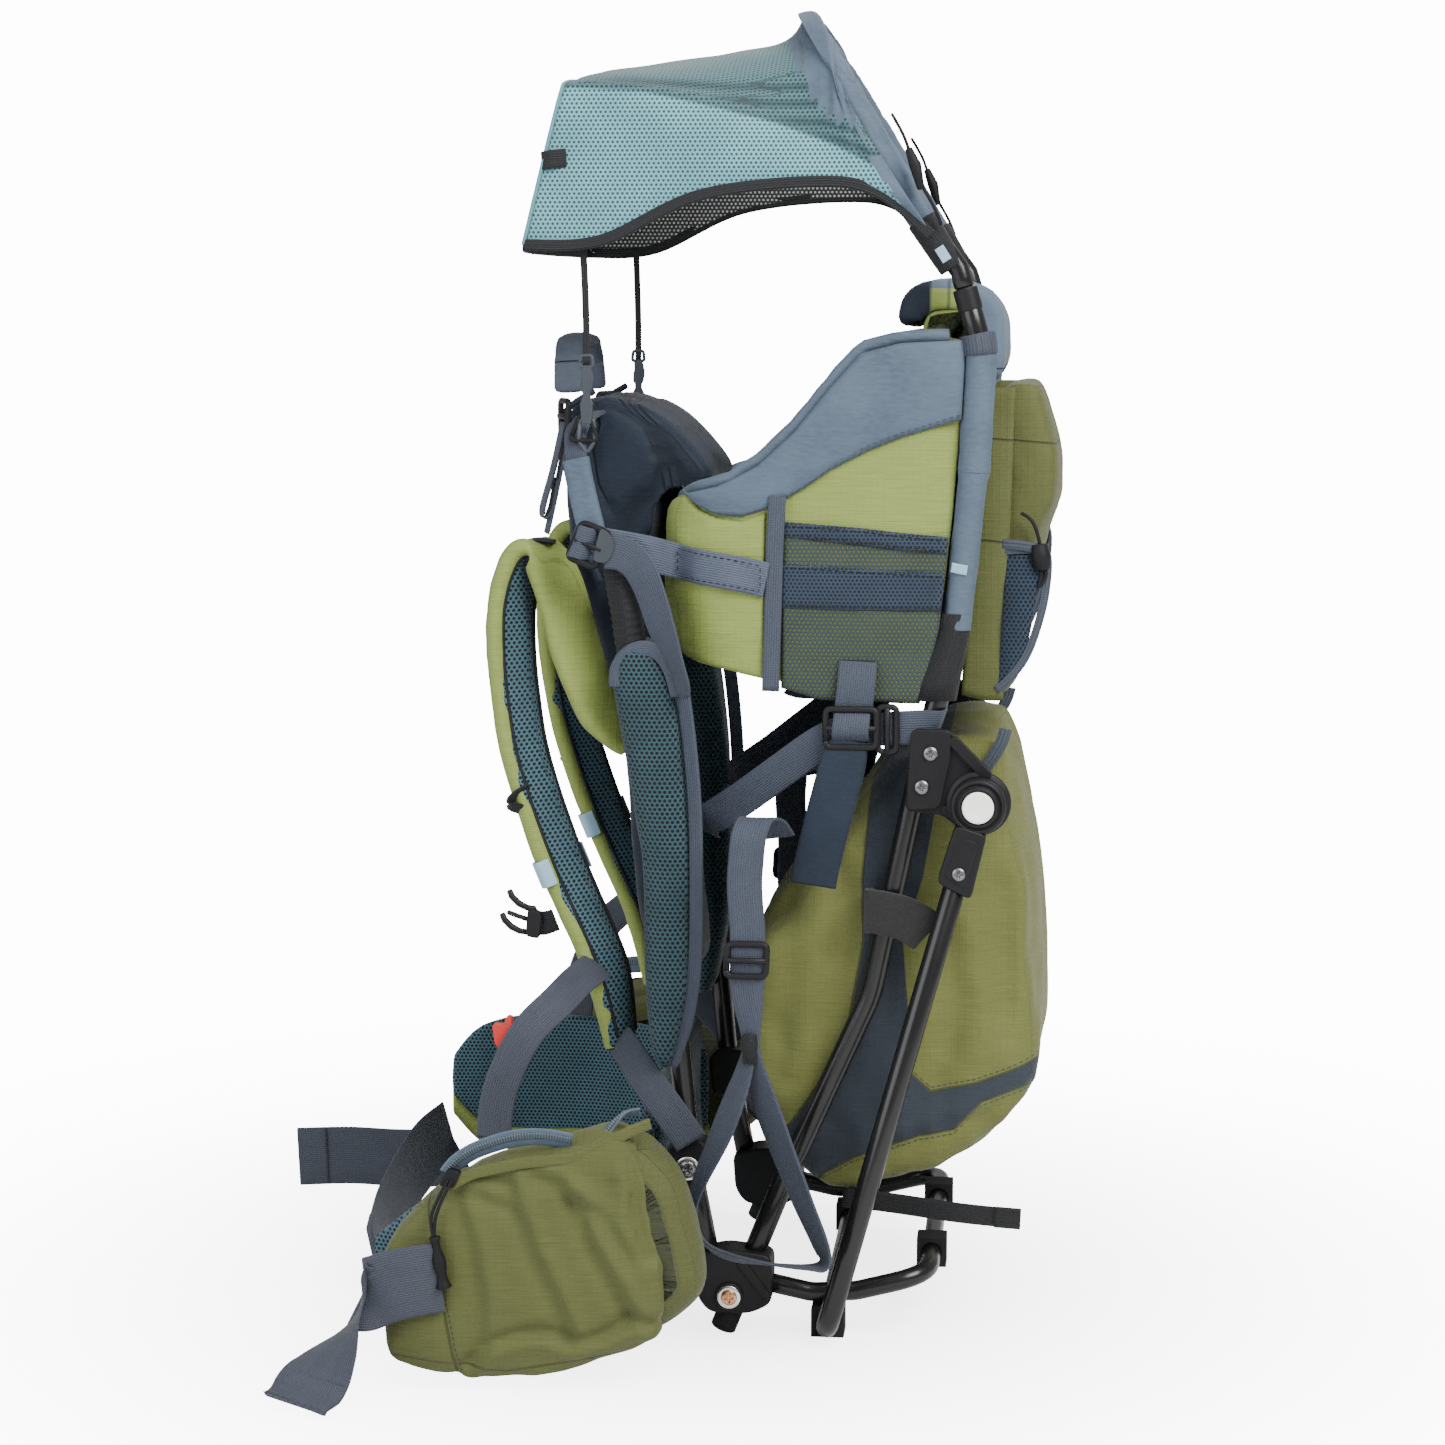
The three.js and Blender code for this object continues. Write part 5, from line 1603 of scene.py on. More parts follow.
# gray sleeves on the main tubes, flared into ribbed webbing at their lower ends
SLEEVE_ENDS = (520, 724)
for hand, s in HANDS:
    x = s * FRAME_X
    low, high = SLEEVE_ENDS
    within = [p for p in main_route(x) if low < p.z < high]
    run = catmull([vec(x, tube_y(low), low), *within, vec(x, tube_y(high), high)], 10)
    cover = tube(f"tube_sleeve_{hand}", run, lambda t: 11.2 if t > 0.29 else 10.2, GRAY, sides=24)
    sculpt(cover, lambda p, n: n * (0.7 * ripple(p, 16, 3) + 0.4 * ripple(p, 6, 5)))
    finish_piece(cover, "frame")
    hem = tube(f"tube_sleeve_hem_{hand}", [vec(x, tube_y(k), k) for k in (711, 716, 720, 725.5)], 12.7,
               BINDING)
    finish_piece(hem, "frame")
    tail = [vec(x, tube_y(k) - 1, k) for k in (530, 520, 508, 496, 482, 468)]
    flare_rings = []
    for i, p in enumerate(tail):
        w = interp(i, [(0, 10), (1, 11.2), (5, 17)])
        d = interp(i, [(0, 10.6), (5, 10.2)])
        flare_rings.append([p + vec(d * math.cos(a), w * math.sin(a) - (w - 10.6) * 0.4, 0)
                            for a in round_angles(28)])
    flare = loft(f"tube_sleeve_flare_{hand}", flare_rings, WEB_DARK)
    finish_piece(flare, "frame")
    glint = strap(f"sleeve_reflector_{hand}",
                  facing((0, 0, 1), (s * 149.5, tube_y(562) - 8, 563), (s * 151, tube_y(562) - 3, 562),
                         (s * 151, tube_y(562) + 3, 561)), 7, 1.0, REFLECT, per_span=4)
    finish_piece(glint, "frame")


# ---------------------------------------------------------------- child's seat and head rest
SEAT_SIDE, HEAD_SIDE, BACK_SIDE, LUMBAR_SIDE = 109, 114, 86, 122
SEAT_OUTLINE = [(52, 463), (156, 463), (174, 500), (179, 676), (167, 676), (158, 502), (146, 475),
                (52, 475)]
seat = prism("child_seat", SEAT_OUTLINE, -SEAT_SIDE, SEAT_SIDE, NAVY_SHELL, edge=6, corner=12, inset=1.0)
inflate(seat, voxel=6, pressure=3, cap=4, steps=12)
finish_piece(seat, "frame", ["seat"])


def head_zones(s, x, y, z):
    return [(y.below(159, 0.5), NAVY), (y.above(159, 0.5) * y.below(178, 0.5) * z.below(757, 0.5), OLIVE)]


def head_seams(s, x, y, z):
    groove = (y - 159.0).size().below(0.9, 0.6).math("MAXIMUM", (y - 172.0).size().below(0.9, 0.6))
    across = ((x + 200.0) / 58.0).fraction() - 0.5
    rib = (across.size() * 58.0).below(0.9, 0.5) * y.above(176, 1)
    edge = (z - 700.0).size().below(0.8, 0.5) * y.above(190, 1)
    return groove.math("MAXIMUM", rib).math("MAXIMUM", edge), groove * 0.0


HEAD_CLOTH = ripstop_cloth("cloth_head_rest", scaled(GRAY_CLOTH, 1.5), head_zones, rough=0.7, slub=0.3,
                           grid=400.0, seams=head_seams)
HEAD_OUTLINE = [(134, 728), (137, 750), (150, 762), (178, 765), (201, 758), (212, 738), (212, 700),
                (206, 689), (199, 689), (193, 734), (184, 742), (168, 744), (154, 740), (148, 728)]
head = prism("head_rest_roll", HEAD_OUTLINE, -HEAD_SIDE, HEAD_SIDE, HEAD_CLOTH, edge=9, corner=10,
             inset=0.6)
inflate(head, voxel=4.5, pressure=5, cap=5, steps=16)
wrinkle(head, [(24, 0.9, 2), (9, 0.35, 6)])
finish_piece(head, "frame", ["head_rest"])
HEAD_SIDE_OUTLINE = [(151, 714), (156, 741), (184, 745), (195, 736), (195, 714)]
for hand, low_x, high_x in (("left", 97, 112), ("right", -112, -97)):
    head_side = prism(f"head_rest_side_{hand}", HEAD_SIDE_OUTLINE, low_x, high_x, OLIVE_CLOTH, edge=4,
                      corner=5, inset=0.2)
    finish_piece(head_side, "frame")


# ---------------------------------------------------------------- back system
BACK_OUTLINE = [(-110, 655), (-106, 674), (-93, 682), (-62, 682), (-32, 667), (4, 626), (2, 616),
                (-38, 616), (-52, 560), (-36, 420), (-16, 230), (-34, 226), (-54, 300), (-62, 420),
                (-84, 500), (-104, 560)]


# seams over the dome of the back pad: (z, y) of each, up from its foot
DOME_SEAMS = [[(583, -61), (595, -71), (616, -82), (640, -86), (659, -81), (676, -84)],
              [(611, -34), (632, -37), (661, -50), (684, -76)],
              [(612, -28), (630, -31), (660, -45), (684, -71)],
              [(613, -21), (629, -25), (659, -39), (684, -66)]]


def quilt_lines(s, x, y, z):
    """A wavy seam behind the shoulder arms and three close channels over the crown."""
    groove = (x.size() - 84.0).size().below(1.0, 0.6)
    for run in DOME_SEAMS:
        groove = groove.math("MAXIMUM", (y - s.line(z, run)).size().below(0.9, 0.6) * z.above(run[0][0], 3))
    return groove, groove * 0.0


BACK_SHELL = soft_shell("cloth_back_pad", NAVY, rough=0.68, quilt=quilt_lines)
back = prism("back_pad_shell", BACK_OUTLINE, -BACK_SIDE, BACK_SIDE, BACK_SHELL, edge=12, corner=16,
             inset=1.2)
inflate(back, voxel=5.5, pressure=4, cap=7, steps=16)


def quilted(p, n):
    """Each sewn channel pulls the dome of the pad in."""
    near = min(abs(p.y - interp(p.z, run)) for run in DOME_SEAMS)
    return n * (-2.4 * smooth((p.z - 585) / 12) * smooth(1 - near / 4))


sculpt(back, quilted)
wrinkle(back, [(34, 1.0, 4), (12, 0.35, 3)])
subdivide(back)
finish_piece(back, "frame", ["back_pad"])

for hand, s in HANDS:
    edge_run = [vec(s * x, y, z) for x, y, z in ((87, -84, 684), (88, -104, 670), (89, -108, 650),
                                                 (89, -101, 610), (89, -92, 575), (89, -80, 545))]
    edging = tube(f"back_pad_piping_{hand}", catmull(edge_run, 6), 2.4, NAVY_SHELL, sides=12)
    finish_piece(edging, "frame")

handle_path = rounded([vec(-57, -107, 682), vec(-49, -108, 706), vec(-34, -108.5, 719), vec(0, -109, 721),
                       vec(34, -108.5, 719), vec(49, -108, 706), vec(57, -107, 682)], 16)
handle_path = catmull(handle_path, 3)
frames = path_frames(handle_path, vec(0, 1, 0))
rings = []
for i, (p, u, w) in enumerate(frames):
    t = i / (len(frames) - 1)
    thick = 3.0 + 1.6 * math.sin(math.pi * t) ** 0.6
    rings.append([p + u * a + w * b for a, b in squircle(11.5, thick, 0.6, 0.8, 20)])
grip = loft("grab_handle_grip", rings, HANDLE_CLOTH)
wrinkle(grip, [(10, 0.5, 3)])
subdivide(grip)
finish_piece(grip, "frame", ["grab_handle"])

LUMBAR_OUTLINE = [(-43, 69), (-48, 100), (-48, 140), (-41, 179), (-27, 179), (-31, 124), (-26, 69)]
lumbar = prism("lumbar_cushion", LUMBAR_OUTLINE, -LUMBAR_SIDE, LUMBAR_SIDE, SPACER, edge=6, corner=10,
               inset=0.8)
inflate(lumbar, voxel=5.5, pressure=4, cap=4, steps=12)
finish_piece(lumbar, "frame", ["lumbar_pad"])

BOLSTER_OUTLINE = [(-38, 196), (-40, 242), (-40, 346), (-56, 440), (-66, 480), (-64, 502), (-52, 510),
                   (-34, 508), (-22, 486), (-14, 440), (-8, 354), (-8, 258), (-20, 193)]
bolster = prism("back_bolster_cushion_left", BOLSTER_OUTLINE, 93, 157, SPACER, edge=15, corner=16,
                inset=0.6)
inflate(bolster, voxel=4.5, pressure=5, cap=6, steps=16)
wrinkle(bolster, [(26, 0.9, 3)])
subdivide(bolster)
other = mirrored(bolster, "back_bolster_cushion_right")
finish_piece(bolster, "frame", ["back_bolster_left"])
finish_piece(other, "frame", ["back_bolster_right"])

for hand, s in HANDS:
    # binding over the arch of the bolster and piping down its rear edge
    arch = [((s * 152, -60, 476), (0.1 * s, 1, 0)), ((s * 152.5, -59, 489), (0, 0.9, -0.4)),
            ((s * 153, -51, 500), (0, 0.5, -0.86)), ((s * 153, -40, 504), (0, 0, -1)),
            ((s * 153, -29, 500), (0, -0.5, -0.86)), ((s * 152.5, -21, 488), (0, -0.9, -0.4)),
            ((s * 152, -16, 470), (0, -1, 0))]
    webbing(f"bolster_arch_binding_{hand}", arch, 11, thickness=2.2, per_span=8)
    rear = strap(f"bolster_side_binding_{hand}",
                 facing((0.5 * s, 1, 0), (s * 150, -14, 484), (s * 151, -8, 440), (s * 151, -4, 392),
                        (s * 151, -3, 340), (s * 150, -4, 280), (s * 149, -10, 236), (s * 148, -22, 200)),
                 11, 2.4, WEB, per_span=8)
    finish_piece(rear, "frame")
    wrap_path = [vec(s * FRAME_X, y, z)
                 for y, z in ((-49, 496), (-52, 512), (-54, 528), (-57, 544), (-59, 558), (-60, 567))]
    wrap = tube(f"stay_wrap_{hand}", catmull(wrap_path, 12), lambda t: 11.2 + 0.5 * math.sin(t * 90),
                WEB_DARK, sides=24)
    finish_piece(wrap, "frame")

# Shoulder strap stations: y, z of its centre and how far its face turns outwards, in degrees.
STRAP_MIDDLE_X = 111
STRAP_STATIONS = [(-58, 424, 52), (-70, 442, 52), (-82, 464, 52), (-94, 494, 52), (-101, 522, 52),
                  (-109, 547, 46), (-117, 564, 38), (-126, 570, 34), (-135, 560, 38), (-142, 532, 44),
                  (-143, 500, 46), (-140, 462, 47), (-132, 415, 47), (-110, 348, 48), (-80, 278, 50),
                  (-71, 250, 48), (-64, 206, 44)]


def strap_frames(hand):
    """Places along a shoulder strap with its width direction and its outward face."""
    centres = catmull([vec(hand * STRAP_MIDDLE_X, y, z) for y, z, _ in STRAP_STATIONS], 8)
    turns = catmull([vec(math.radians(turn), 0, 0) for _, _, turn in STRAP_STATIONS], 8)
    out, last = [], len(centres) - 1
    for k, (p, turn) in enumerate(zip(centres, turns)):
        tangent = (centres[min(k + 1, last)] - centres[max(k - 1, 0)]).normalized()
        side = vec(math.cos(turn.x), -math.sin(turn.x), 0)
        side = (side - tangent * side.dot(tangent)).normalized()
        out.append((p, side, tangent.cross(side), k / last))
    return out


STRAP_HALF_WIDTH = [(0, 5), (0.04, 12), (0.09, 18), (0.3, 20), (0.5, 19), (0.8, 18.5), (0.93, 17), (1, 13)]
for hand, s in HANDS:
    places = strap_frames(s)
    pad_rings, cover_rings = [], []
    for p, u, w, t in places:
        h = interp(t, STRAP_HALF_WIDTH)
        swell = interp(t, [(0, 0.55), (0.06, 1), (0.95, 1), (1, 0.6)])
        section = squircle(h * 0.92, 6.2 * swell, 0.6, 0.6, 28)
        pad_rings.append([p + u * a + w * (b - 0.8) for a, b in section])
        # the cover goes round both edges of the pad and leaves its inner face bare
        shape = [(-h + 0.6, -4.4), (-h - 0.8, -2.6), (-h - 1.3, 0), (-h, 4.6), (-h + 4, 6.6), (-h / 2, 7.4),
                 (0, 7.7), (h / 2, 7.4), (h - 4, 6.6), (h, 4.6), (h + 1.3, 0), (h - 0.4, -5.2),
                 (h - 4, -7.0), (h - 8.5, -6.6), (h - 8.5, -5.9), (h - 3.2, -5.6), (h - 1.2, 0),
                 (h - 5, 5.2), (0, 6.4), (-h + 5, 5.2), (-h + 1.2, 0), (-h + 1.6, -3.6)]
        cover_rings.append([p + u * a + w * (b * swell) for a, b in shape])
    cushion = loft(f"shoulder_strap_pad_{hand}", pad_rings, SPACER_TEAL)
    wrinkle(cushion, [(30, 1.0, 4), (10, 0.4, 2)])
    subdivide(cushion)
    finish_piece(cushion, "frame", [f"shoulder_strap_{hand}"])
    for label, across, back in (("front", lambda h: h - 8.0, 6.9), ("back", lambda h: -h + 1.0, 4.6)):
        run = [p + u * across(interp(t, STRAP_HALF_WIDTH)) - w * back for p, u, w, t in places[4:-2]]
        piping = tube(f"shoulder_strap_piping_{hand}_{label}", run, 1.2, WEB_DARK, sides=10)
        finish_piece(piping, "frame")
    p, u, w, _ = min(places[len(places) // 2:], key=lambda place: abs(place[0].z - 336))
    flash = strap(f"shoulder_strap_reflector_{hand}",
                  [(tuple(p + u * a + w * lift), tuple(u.cross(w)))
                   for a, lift in ((-21, -4), (-20.5, 3), (-16, 8.2), (0, 9.2), (16, 8.2), (20.5, 3),
                                   (21, -4), (14, -8.0))], 20, 1.0, REFLECT, per_span=5)
    finish_piece(flash, "frame")
    cover = loft(f"shoulder_strap_cover_{hand}", cover_rings, OLIVE_CLOTH, caps=False)
    wrinkle(cover, [(30, 1.0, 4), (10, 0.5, 2)])
    subdivide(cover)
    finish_piece(cover, "frame")


# ---------------------------------------------------------------- bags
BAG_SIDE = 122


def upper_bag_seams(s, x, y, z):
    flap = (z - s.line(y, [(200, 580), (250, 574)])).size().below(0.9, 0.5)
    top = (z - s.line(y, [(200, 652), (250, 648)])).size().below(0.7, 0.4)
    groove = flap.math("MAXIMUM", top)
    return groove, groove * 0.0


UPPER_CLOTH = ripstop_cloth("cloth_upper_bag", UPPER_OLIVE, seams=upper_bag_seams)
UPPER_OUTLINE = [(205, 681), (214, 692), (239, 694), (240, 677), (249, 644), (250, 611), (238, 580),
                 (225, 500), (221, 469), (201, 463)]
upper = prism("upper_bag_body", UPPER_OUTLINE, -BAG_SIDE, BAG_SIDE, UPPER_CLOTH, edge=7, corner=10,
              inset=0.8)
inflate(upper, voxel=5, pressure=5, cap=7, steps=18)
wrinkle(upper, [(38, 1.6, 2), (14, 0.7, 5)])
subdivide(upper)
finish_piece(upper, "frame", ["upper_bag"])
NET_RIM = [(213, 573), (228, 574), (243, 572), (243, 545), (237, 518), (229, 497), (218, 482), (209, 474)]
for hand, s in HANDS:
    def beside_bag(y, z, lift, s=s):
        """place() over the side of the upper bag."""
        return vec(s * (BAG_SIDE + 1.5 + lift), y, z)
    side_cloth = panel(f"upper_bag_side_{hand}", [(195, 680), (206, 688), (220, 688)],
                       [(184, 470), (200, 466), (214, 466)], beside_bag, 1.6, UPPER_CLOTH, puff=2.5,
                       folds=[(30, 1.4, 6)], columns=16, rows=40)
    finish_piece(side_cloth, "frame")
    net = panel(f"upper_bag_net_{hand}", [(214, 571), (228, 572), (243, 570)],
                [(209, 474), (218, 482), (229, 497)], beside_bag, 1.6, NAVY_MESH, puff=6,
                folds=[(22, 1.6, 3)], columns=20, rows=30)
    finish_piece(net, "frame")
    net_rim = [vec(s * 125.5, y, z) for y, z in NET_RIM]
    net_edge = sheet_edge(net_rim, f"upper_bag_net_binding_{hand}", 6, 1.8, BINDING, out=vec(s, 0, 0),
                          per_span=6)
    finish_piece(net_edge, "frame")

LOWER_OUTLINE = [(206, 445), (221, 438), (225, 400), (239, 340), (245, 210), (243, 180), (231, 160),
                 (186, 122), (143, 106), (91, 94), (64, 115), (30, 160), (24, 211), (30, 290), (73, 338),
                 (151, 438)]


INSERT_FRONT = [(88, 60), (135, 20), (153, 63), (191, 88), (233, 106), (292, 116), (333, 114), (398, 119),
                (443, 137)]
INSERT_REAR = [(190, 149), (243, 148), (292, 144), (338, 158), (443, 176)]


def lower_bag_masks(s, x, y, z):
    """The dark side insert beside the tubes and the wavy band that runs back from its foot."""
    front = (y - s.line(z, INSERT_FRONT)).above(0.0, 0.4)
    insert = front * (y - s.line(z, INSERT_REAR)).below(0.0, 0.4) * z.above(100, 1)
    tail_top = s.line(y, [(130, 205), (149, 195), (165, 181), (198, 188), (250, 207)])
    tail_low = s.line(y, [(10, 112), (68, 92), (88, 116), (109, 129), (157, 147), (182, 152), (202, 174),
                          (250, 190)])
    tail = (z - tail_top).below(0.0, 0.4) * y.above(128, 0.4)
    return (insert.math("MAXIMUM", tail) * (z - tail_low).above(0.0, 0.4)), front, tail_top, tail_low


def lower_bag_zones(s, x, y, z):
    return [(lower_bag_masks(s, x, y, z)[0], (0.018, 0.024, 0.033))]


def lower_bag_seams(s, x, y, z):
    mask, front, top, low = lower_bag_masks(s, x, y, z)
    edge = (y - s.line(z, INSERT_FRONT)).size().below(0.8, 0.4) * z.above(135, 1)
    edge = edge.math("MAXIMUM", (z - top).size().below(0.8, 0.4) * y.above(149, 0.5))
    edge = edge.math("MAXIMUM", (z - low).size().below(0.8, 0.4) * y.above(68, 0.5))
    dash = (y / 4.2).fraction().above(0.4, 0.08)
    stitch = ((z - top - 3.0).size().below(0.45, 0.2) * y.above(149, 0.5) +
              (z - low + 3.0).size().below(0.45, 0.2) * y.above(68, 0.5)) * dash
    return edge, stitch


LOWER_CLOTH = ripstop_cloth("cloth_lower_bag", BAG_OLIVE, lower_bag_zones, seams=lower_bag_seams)
lower = prism("lower_bag_body", LOWER_OUTLINE, -BAG_SIDE, BAG_SIDE, LOWER_CLOTH, edge=14, corner=22,
              inset=2.5)
inflate(lower, voxel=6, pressure=4, cap=9, steps=20)


BAG_FOLDS = [([(68, 350), (48, 334), (34, 322)], 6, 8), ([(84, 366), (98, 330), (100, 280)], 3, 9),
             ([(58, 320), (62, 260), (52, 190)], 3, 10), ([(176, 300), (182, 250), (178, 215)], 2.5, 10),
             ([(214, 330), (220, 270), (216, 225)], 2.5, 10), ([(90, 118), (128, 136), (158, 146)], 3.5, 6),
             ([(158, 150), (200, 160), (228, 180)], 3, 6)]


def bag_slump(p, n):
    """Cloth that hangs: folds run down the face, and it gathers at its bottom and beside the tubes."""
    fold = 3.2 * ripple(vec(p.x, p.y * 1.5, p.z * 0.4), 30, 7)
    fold += 1.8 * crease(vec(p.x, p.y - p.z * 0.3, p.z * 0.5), 26, 3) * smooth((330 - p.z) / 150)
    fold += 1.4 * ripple(vec(p.x * 0.5, p.y, p.z), 14, 4) * smooth((190 - p.z) / 50)
    pull = 2.5 * math.sin((p.z - 1.3 * p.y) / 15) * smooth((150 - p.y) / 60) * smooth((p.z - 230) / 60)
    side = smooth((abs(p.x) - 70) / 40)
    return n * (fold + pull * side + gather(p.y, p.z, BAG_FOLDS) * side - 1.0)


sculpt(lower, bag_slump)
subdivide(lower)
finish_piece(lower, "frame", ["lower_bag"])

for hand, s in HANDS:
    # binding down the mouth of the lower bag, the flap trim and the upper bag's cord lock
    mouth = [((s * 124, 216, 446), (0, 1, 0.2)), ((s * 125.5, 213, 436), (0, 1, 0.2)),
             ((s * 126.5, 206, 424), (0, 1, 0.4)), ((s * 127, 194, 408), (0, 1, 0.7))]
    webbing(f"bag_mouth_binding_{hand}", mouth, 9, material=BINDING, per_span=8)
    lock = tube(f"bag_cord_lock_{hand}",
                [vec(s * 127, 238, 578), vec(s * 127.5, 239, 570), vec(s * 127.5, 240, 560)],
                lambda t: 5.5 + 1.5 * math.sin(math.pi * t), SOFT_PLASTIC, sides=20)
    finish_piece(lock, "frame")
    cord_path = catmull([vec(s * 126, 225, 600), vec(s * 128, 233, 594), vec(s * 128, 238, 580),
                         vec(s * 128, 240, 560), vec(s * 128, 238, 548), vec(s * 127, 243, 556),
                         vec(s * 127.4, 240.5, 562)], 6)
    finish_piece(tube(f"bag_cord_{hand}", cord_path, 1.3, SOFT_PLASTIC, sides=10, end_round=0.3), "frame")
    flap_trim = strap(f"bag_flap_trim_{hand}",
                      [((s * 126, 212, 578), (0, 0.06, 1)), ((s * 127.5, 226, 577), (0, 0.05, 1)),
                       ((s * 127, 243, 574), (0, 0.05, 1))], 7, 1.6, BINDING, per_span=8)
    finish_piece(flap_trim, "frame")


# ---------------------------------------------------------------- hip belt
# plan place, bottom and top of the wings; the left one tapers under its pouch
WING_STATIONS = {1: [(164, -34, 56, 140), (184, -52, 44, 146), (201, -92, 36, 150), (210, -140, 34, 143),
                     (212, -185, 36, 118), (207, -212, 44, 98), (203, -226, 54, 86)],
                 -1: [(164, -34, 56, 140), (184, -52, 44, 146), (201, -92, 36, 150), (210, -140, 34, 153),
                      (212, -188, 36, 152), (207, -226, 44, 144), (201, -250, 70, 118)]}


POUCH_BACK_X, POUCH_FACE_X, GUSSET_X = 246, 289, (227, 282)
POUCH_OUTLINE = [(-211, 97), (-184, 132), (-146, 160), (-90, 177), (-40, 193), (-24, 172), (-17, 132),
                 (-9, 95), (-5, 60), (-20, 34), (-91, 7), (-176, 7), (-208, 18)]
GUSSET_OUTLINE = [(-198, 90), (-146, 150), (-80, 168), (-28, 182), (0, 152), (14, 100), (19, 70), (-10, 44),
                  (-90, 12), (-170, 12), (-198, 24)]

WING_ROOT_Y, WING_REACH = -34, -216
WING_FULLNESS = [(0, 0.7), (0.1, 1), (0.9, 1), (1, 0.6)]
for hand, s in HANDS:
    halves = catmull([vec(s * x, y, 0) for x, y, _, _ in WING_STATIONS[s]], 6)
    lows = catmull([vec(low, high, 0) for _, _, low, high in WING_STATIONS[s]], 6)
    frames = path_frames(halves, vec(0, 0, 1))
    rings = []
    for (p, u, w), lh in zip(frames, lows):
        half = 8.6 * interp((p.y - WING_ROOT_Y) / WING_REACH, WING_FULLNESS)
        mid, tall = (lh.x + lh.y) / 2, (lh.y - lh.x) / 2
        rings.append([p + w * off + vec(0, 0, mid + z) for off, z in squircle(half, tall, 0.55, 0.5, 36)])
    wing = loft(f"hip_wing_pad_{hand}", rings, SPACER_TEAL)
    wrinkle(wing, [(40, 1.6, 3), (14, 0.6, 5)])
    subdivide(wing)
    finish_piece(wing, f"hip_{hand}", [f"hip_wing_{hand}"])
    border_rings = []
    for (p, u, w), lh in zip(frames, lows):
        t = (p.y - WING_ROOT_Y) / WING_REACH
        half = 9.8 * interp(t, WING_FULLNESS)
        deep = interp(t, [(0, 18), (0.5, 24), (1, 16)])
        border_rings.append([p + w * (half * a) + vec(0, 0, lh.x + b)
                             for a, b in [(1, deep), (1.02, deep * 0.5), (0.9, 1.5), (0.4, -1.6),
                                          (-0.4, -1.6), (-0.9, 1.5), (-1.02, deep * 0.5), (-1, deep),
                                          (-0.86, deep - 1), (0, deep - 2), (0.86, deep - 1)]])
    border = loft(f"hip_wing_border_{hand}", border_rings, OLIVE_CLOTH)
    finish_piece(border, f"hip_{hand}")
    # the cloth that joins the lumbar cushion to the root of the wing
    root = strap(f"hip_root_cloth_{hand}",
                 facing((0, 0, 1), (s * 116, -38, 112), (s * 130, -40, 108), (s * 150, -39, 102),
                        (s * 166, -37, 98)), 76, 5, SPACER_TEAL, per_span=5)
    finish_piece(root, "frame")


POUCH_FRONT_SEAM = [(0, -152), (60, -163), (150, -176)]


def pouch_seams(s, x, y, z):
    # a vertical seam near the front and one round the gusset
    line = (y - s.line(z, POUCH_FRONT_SEAM)).size().below(0.8, 0.4)
    bottom = (z - s.line(y, [(-210, 26), (-120, 16), (-30, 34), (20, 56)])).size().below(0.7, 0.4)
    groove = line.math("MAXIMUM", bottom)
    dash = (z / 4.0).fraction().above(0.4, 0.08)
    stitch = ((y - s.line(z, POUCH_FRONT_SEAM)) - 3.0).size().below(0.45, 0.2) * dash
    return groove, stitch


POUCH_CLOTH = ripstop_cloth("cloth_pouch", POUCH_OLIVE, seams=pouch_seams)
GUSSET_CLOTH = ripstop_cloth("cloth_pouch_gusset", scaled(POUCH_OLIVE, 0.85))
pouch = prism("hip_pouch_body_left", POUCH_OUTLINE, POUCH_BACK_X, POUCH_FACE_X, POUCH_CLOTH, edge=8,
              corner=12, inset=1.2)
inflate(pouch, voxel=4.5, pressure=4, cap=5, steps=16)
gusset = prism("hip_pouch_gusset_left", GUSSET_OUTLINE, GUSSET_X[0], GUSSET_X[1], GUSSET_CLOTH, edge=22,
               corner=16, inset=0.5)


POUCH_FOLDS = [([(-119, 152), (-112, 130), (-101, 98), (-87, 70), (-76, 44)], 5, 6),
               ([(-73, 138), (-62, 108), (-50, 88), (-34, 58)], 6, 6),
               ([(-31, 170), (-27, 132), (-20, 100)], 4, 6),
               ([(-155, 140), (-144, 106), (-138, 68), (-139, 35)], 3.5, 6),
               ([(-151, 145), (-137, 139), (-119, 132)], 3.5, 5),
               ([(-96, 154), (-82, 150), (-73, 141), (-55, 129)], 4, 5),
               ([(-46, 150), (-48, 120), (-34, 96)], 3.5, 6),
               ([(-20, 52), (-32, 56), (-53, 43), (-72, 38), (-90, 45), (-108, 44), (-129, 37), (-146, 19)],
                6, 4.5)]


def pouch_folds(p, n):
    """The pocket stands off the belt, falls in soft upright folds and puffs over its bottom seam."""
    face = smooth((p.x - 262) / 14)
    fold = 1.6 * ripple(vec(p.x * 0.6, p.y, p.z * 0.6), 26, 5) + gather(p.y, p.z, POUCH_FOLDS) * face
    seam = smooth(1 - abs(p.y - interp(p.z, POUCH_FRONT_SEAM)) / 3.5)
    return n * (fold * smooth((p.x - 232) / 20) - 2.2 * seam * face - 1.0)


def above_ground(p, n):
    """Lifts what would go into the ground."""
    return vec(0, 0, max(0.0, 1.5 - p.z))


sculpt(pouch, pouch_folds)
subdivide(pouch)
sculpt(pouch, above_ground)
wrinkle(gusset, [(22, 1.4, 3), (9, 0.5, 6)])
subdivide(gusset)
sculpt(gusset, above_ground)
right_pouch = mirrored(pouch, "hip_pouch_body_right")
for piece, side in ((gusset, "left"), (mirrored(gusset, "hip_pouch_gusset_right"), "right")):
    finish_piece(piece, f"hip_{side}", [f"hip_pouch_{side}"])
finish_piece(pouch, "hip_left", ["hip_pouch_left"])
finish_piece(right_pouch, "hip_right", ["hip_pouch_right"])

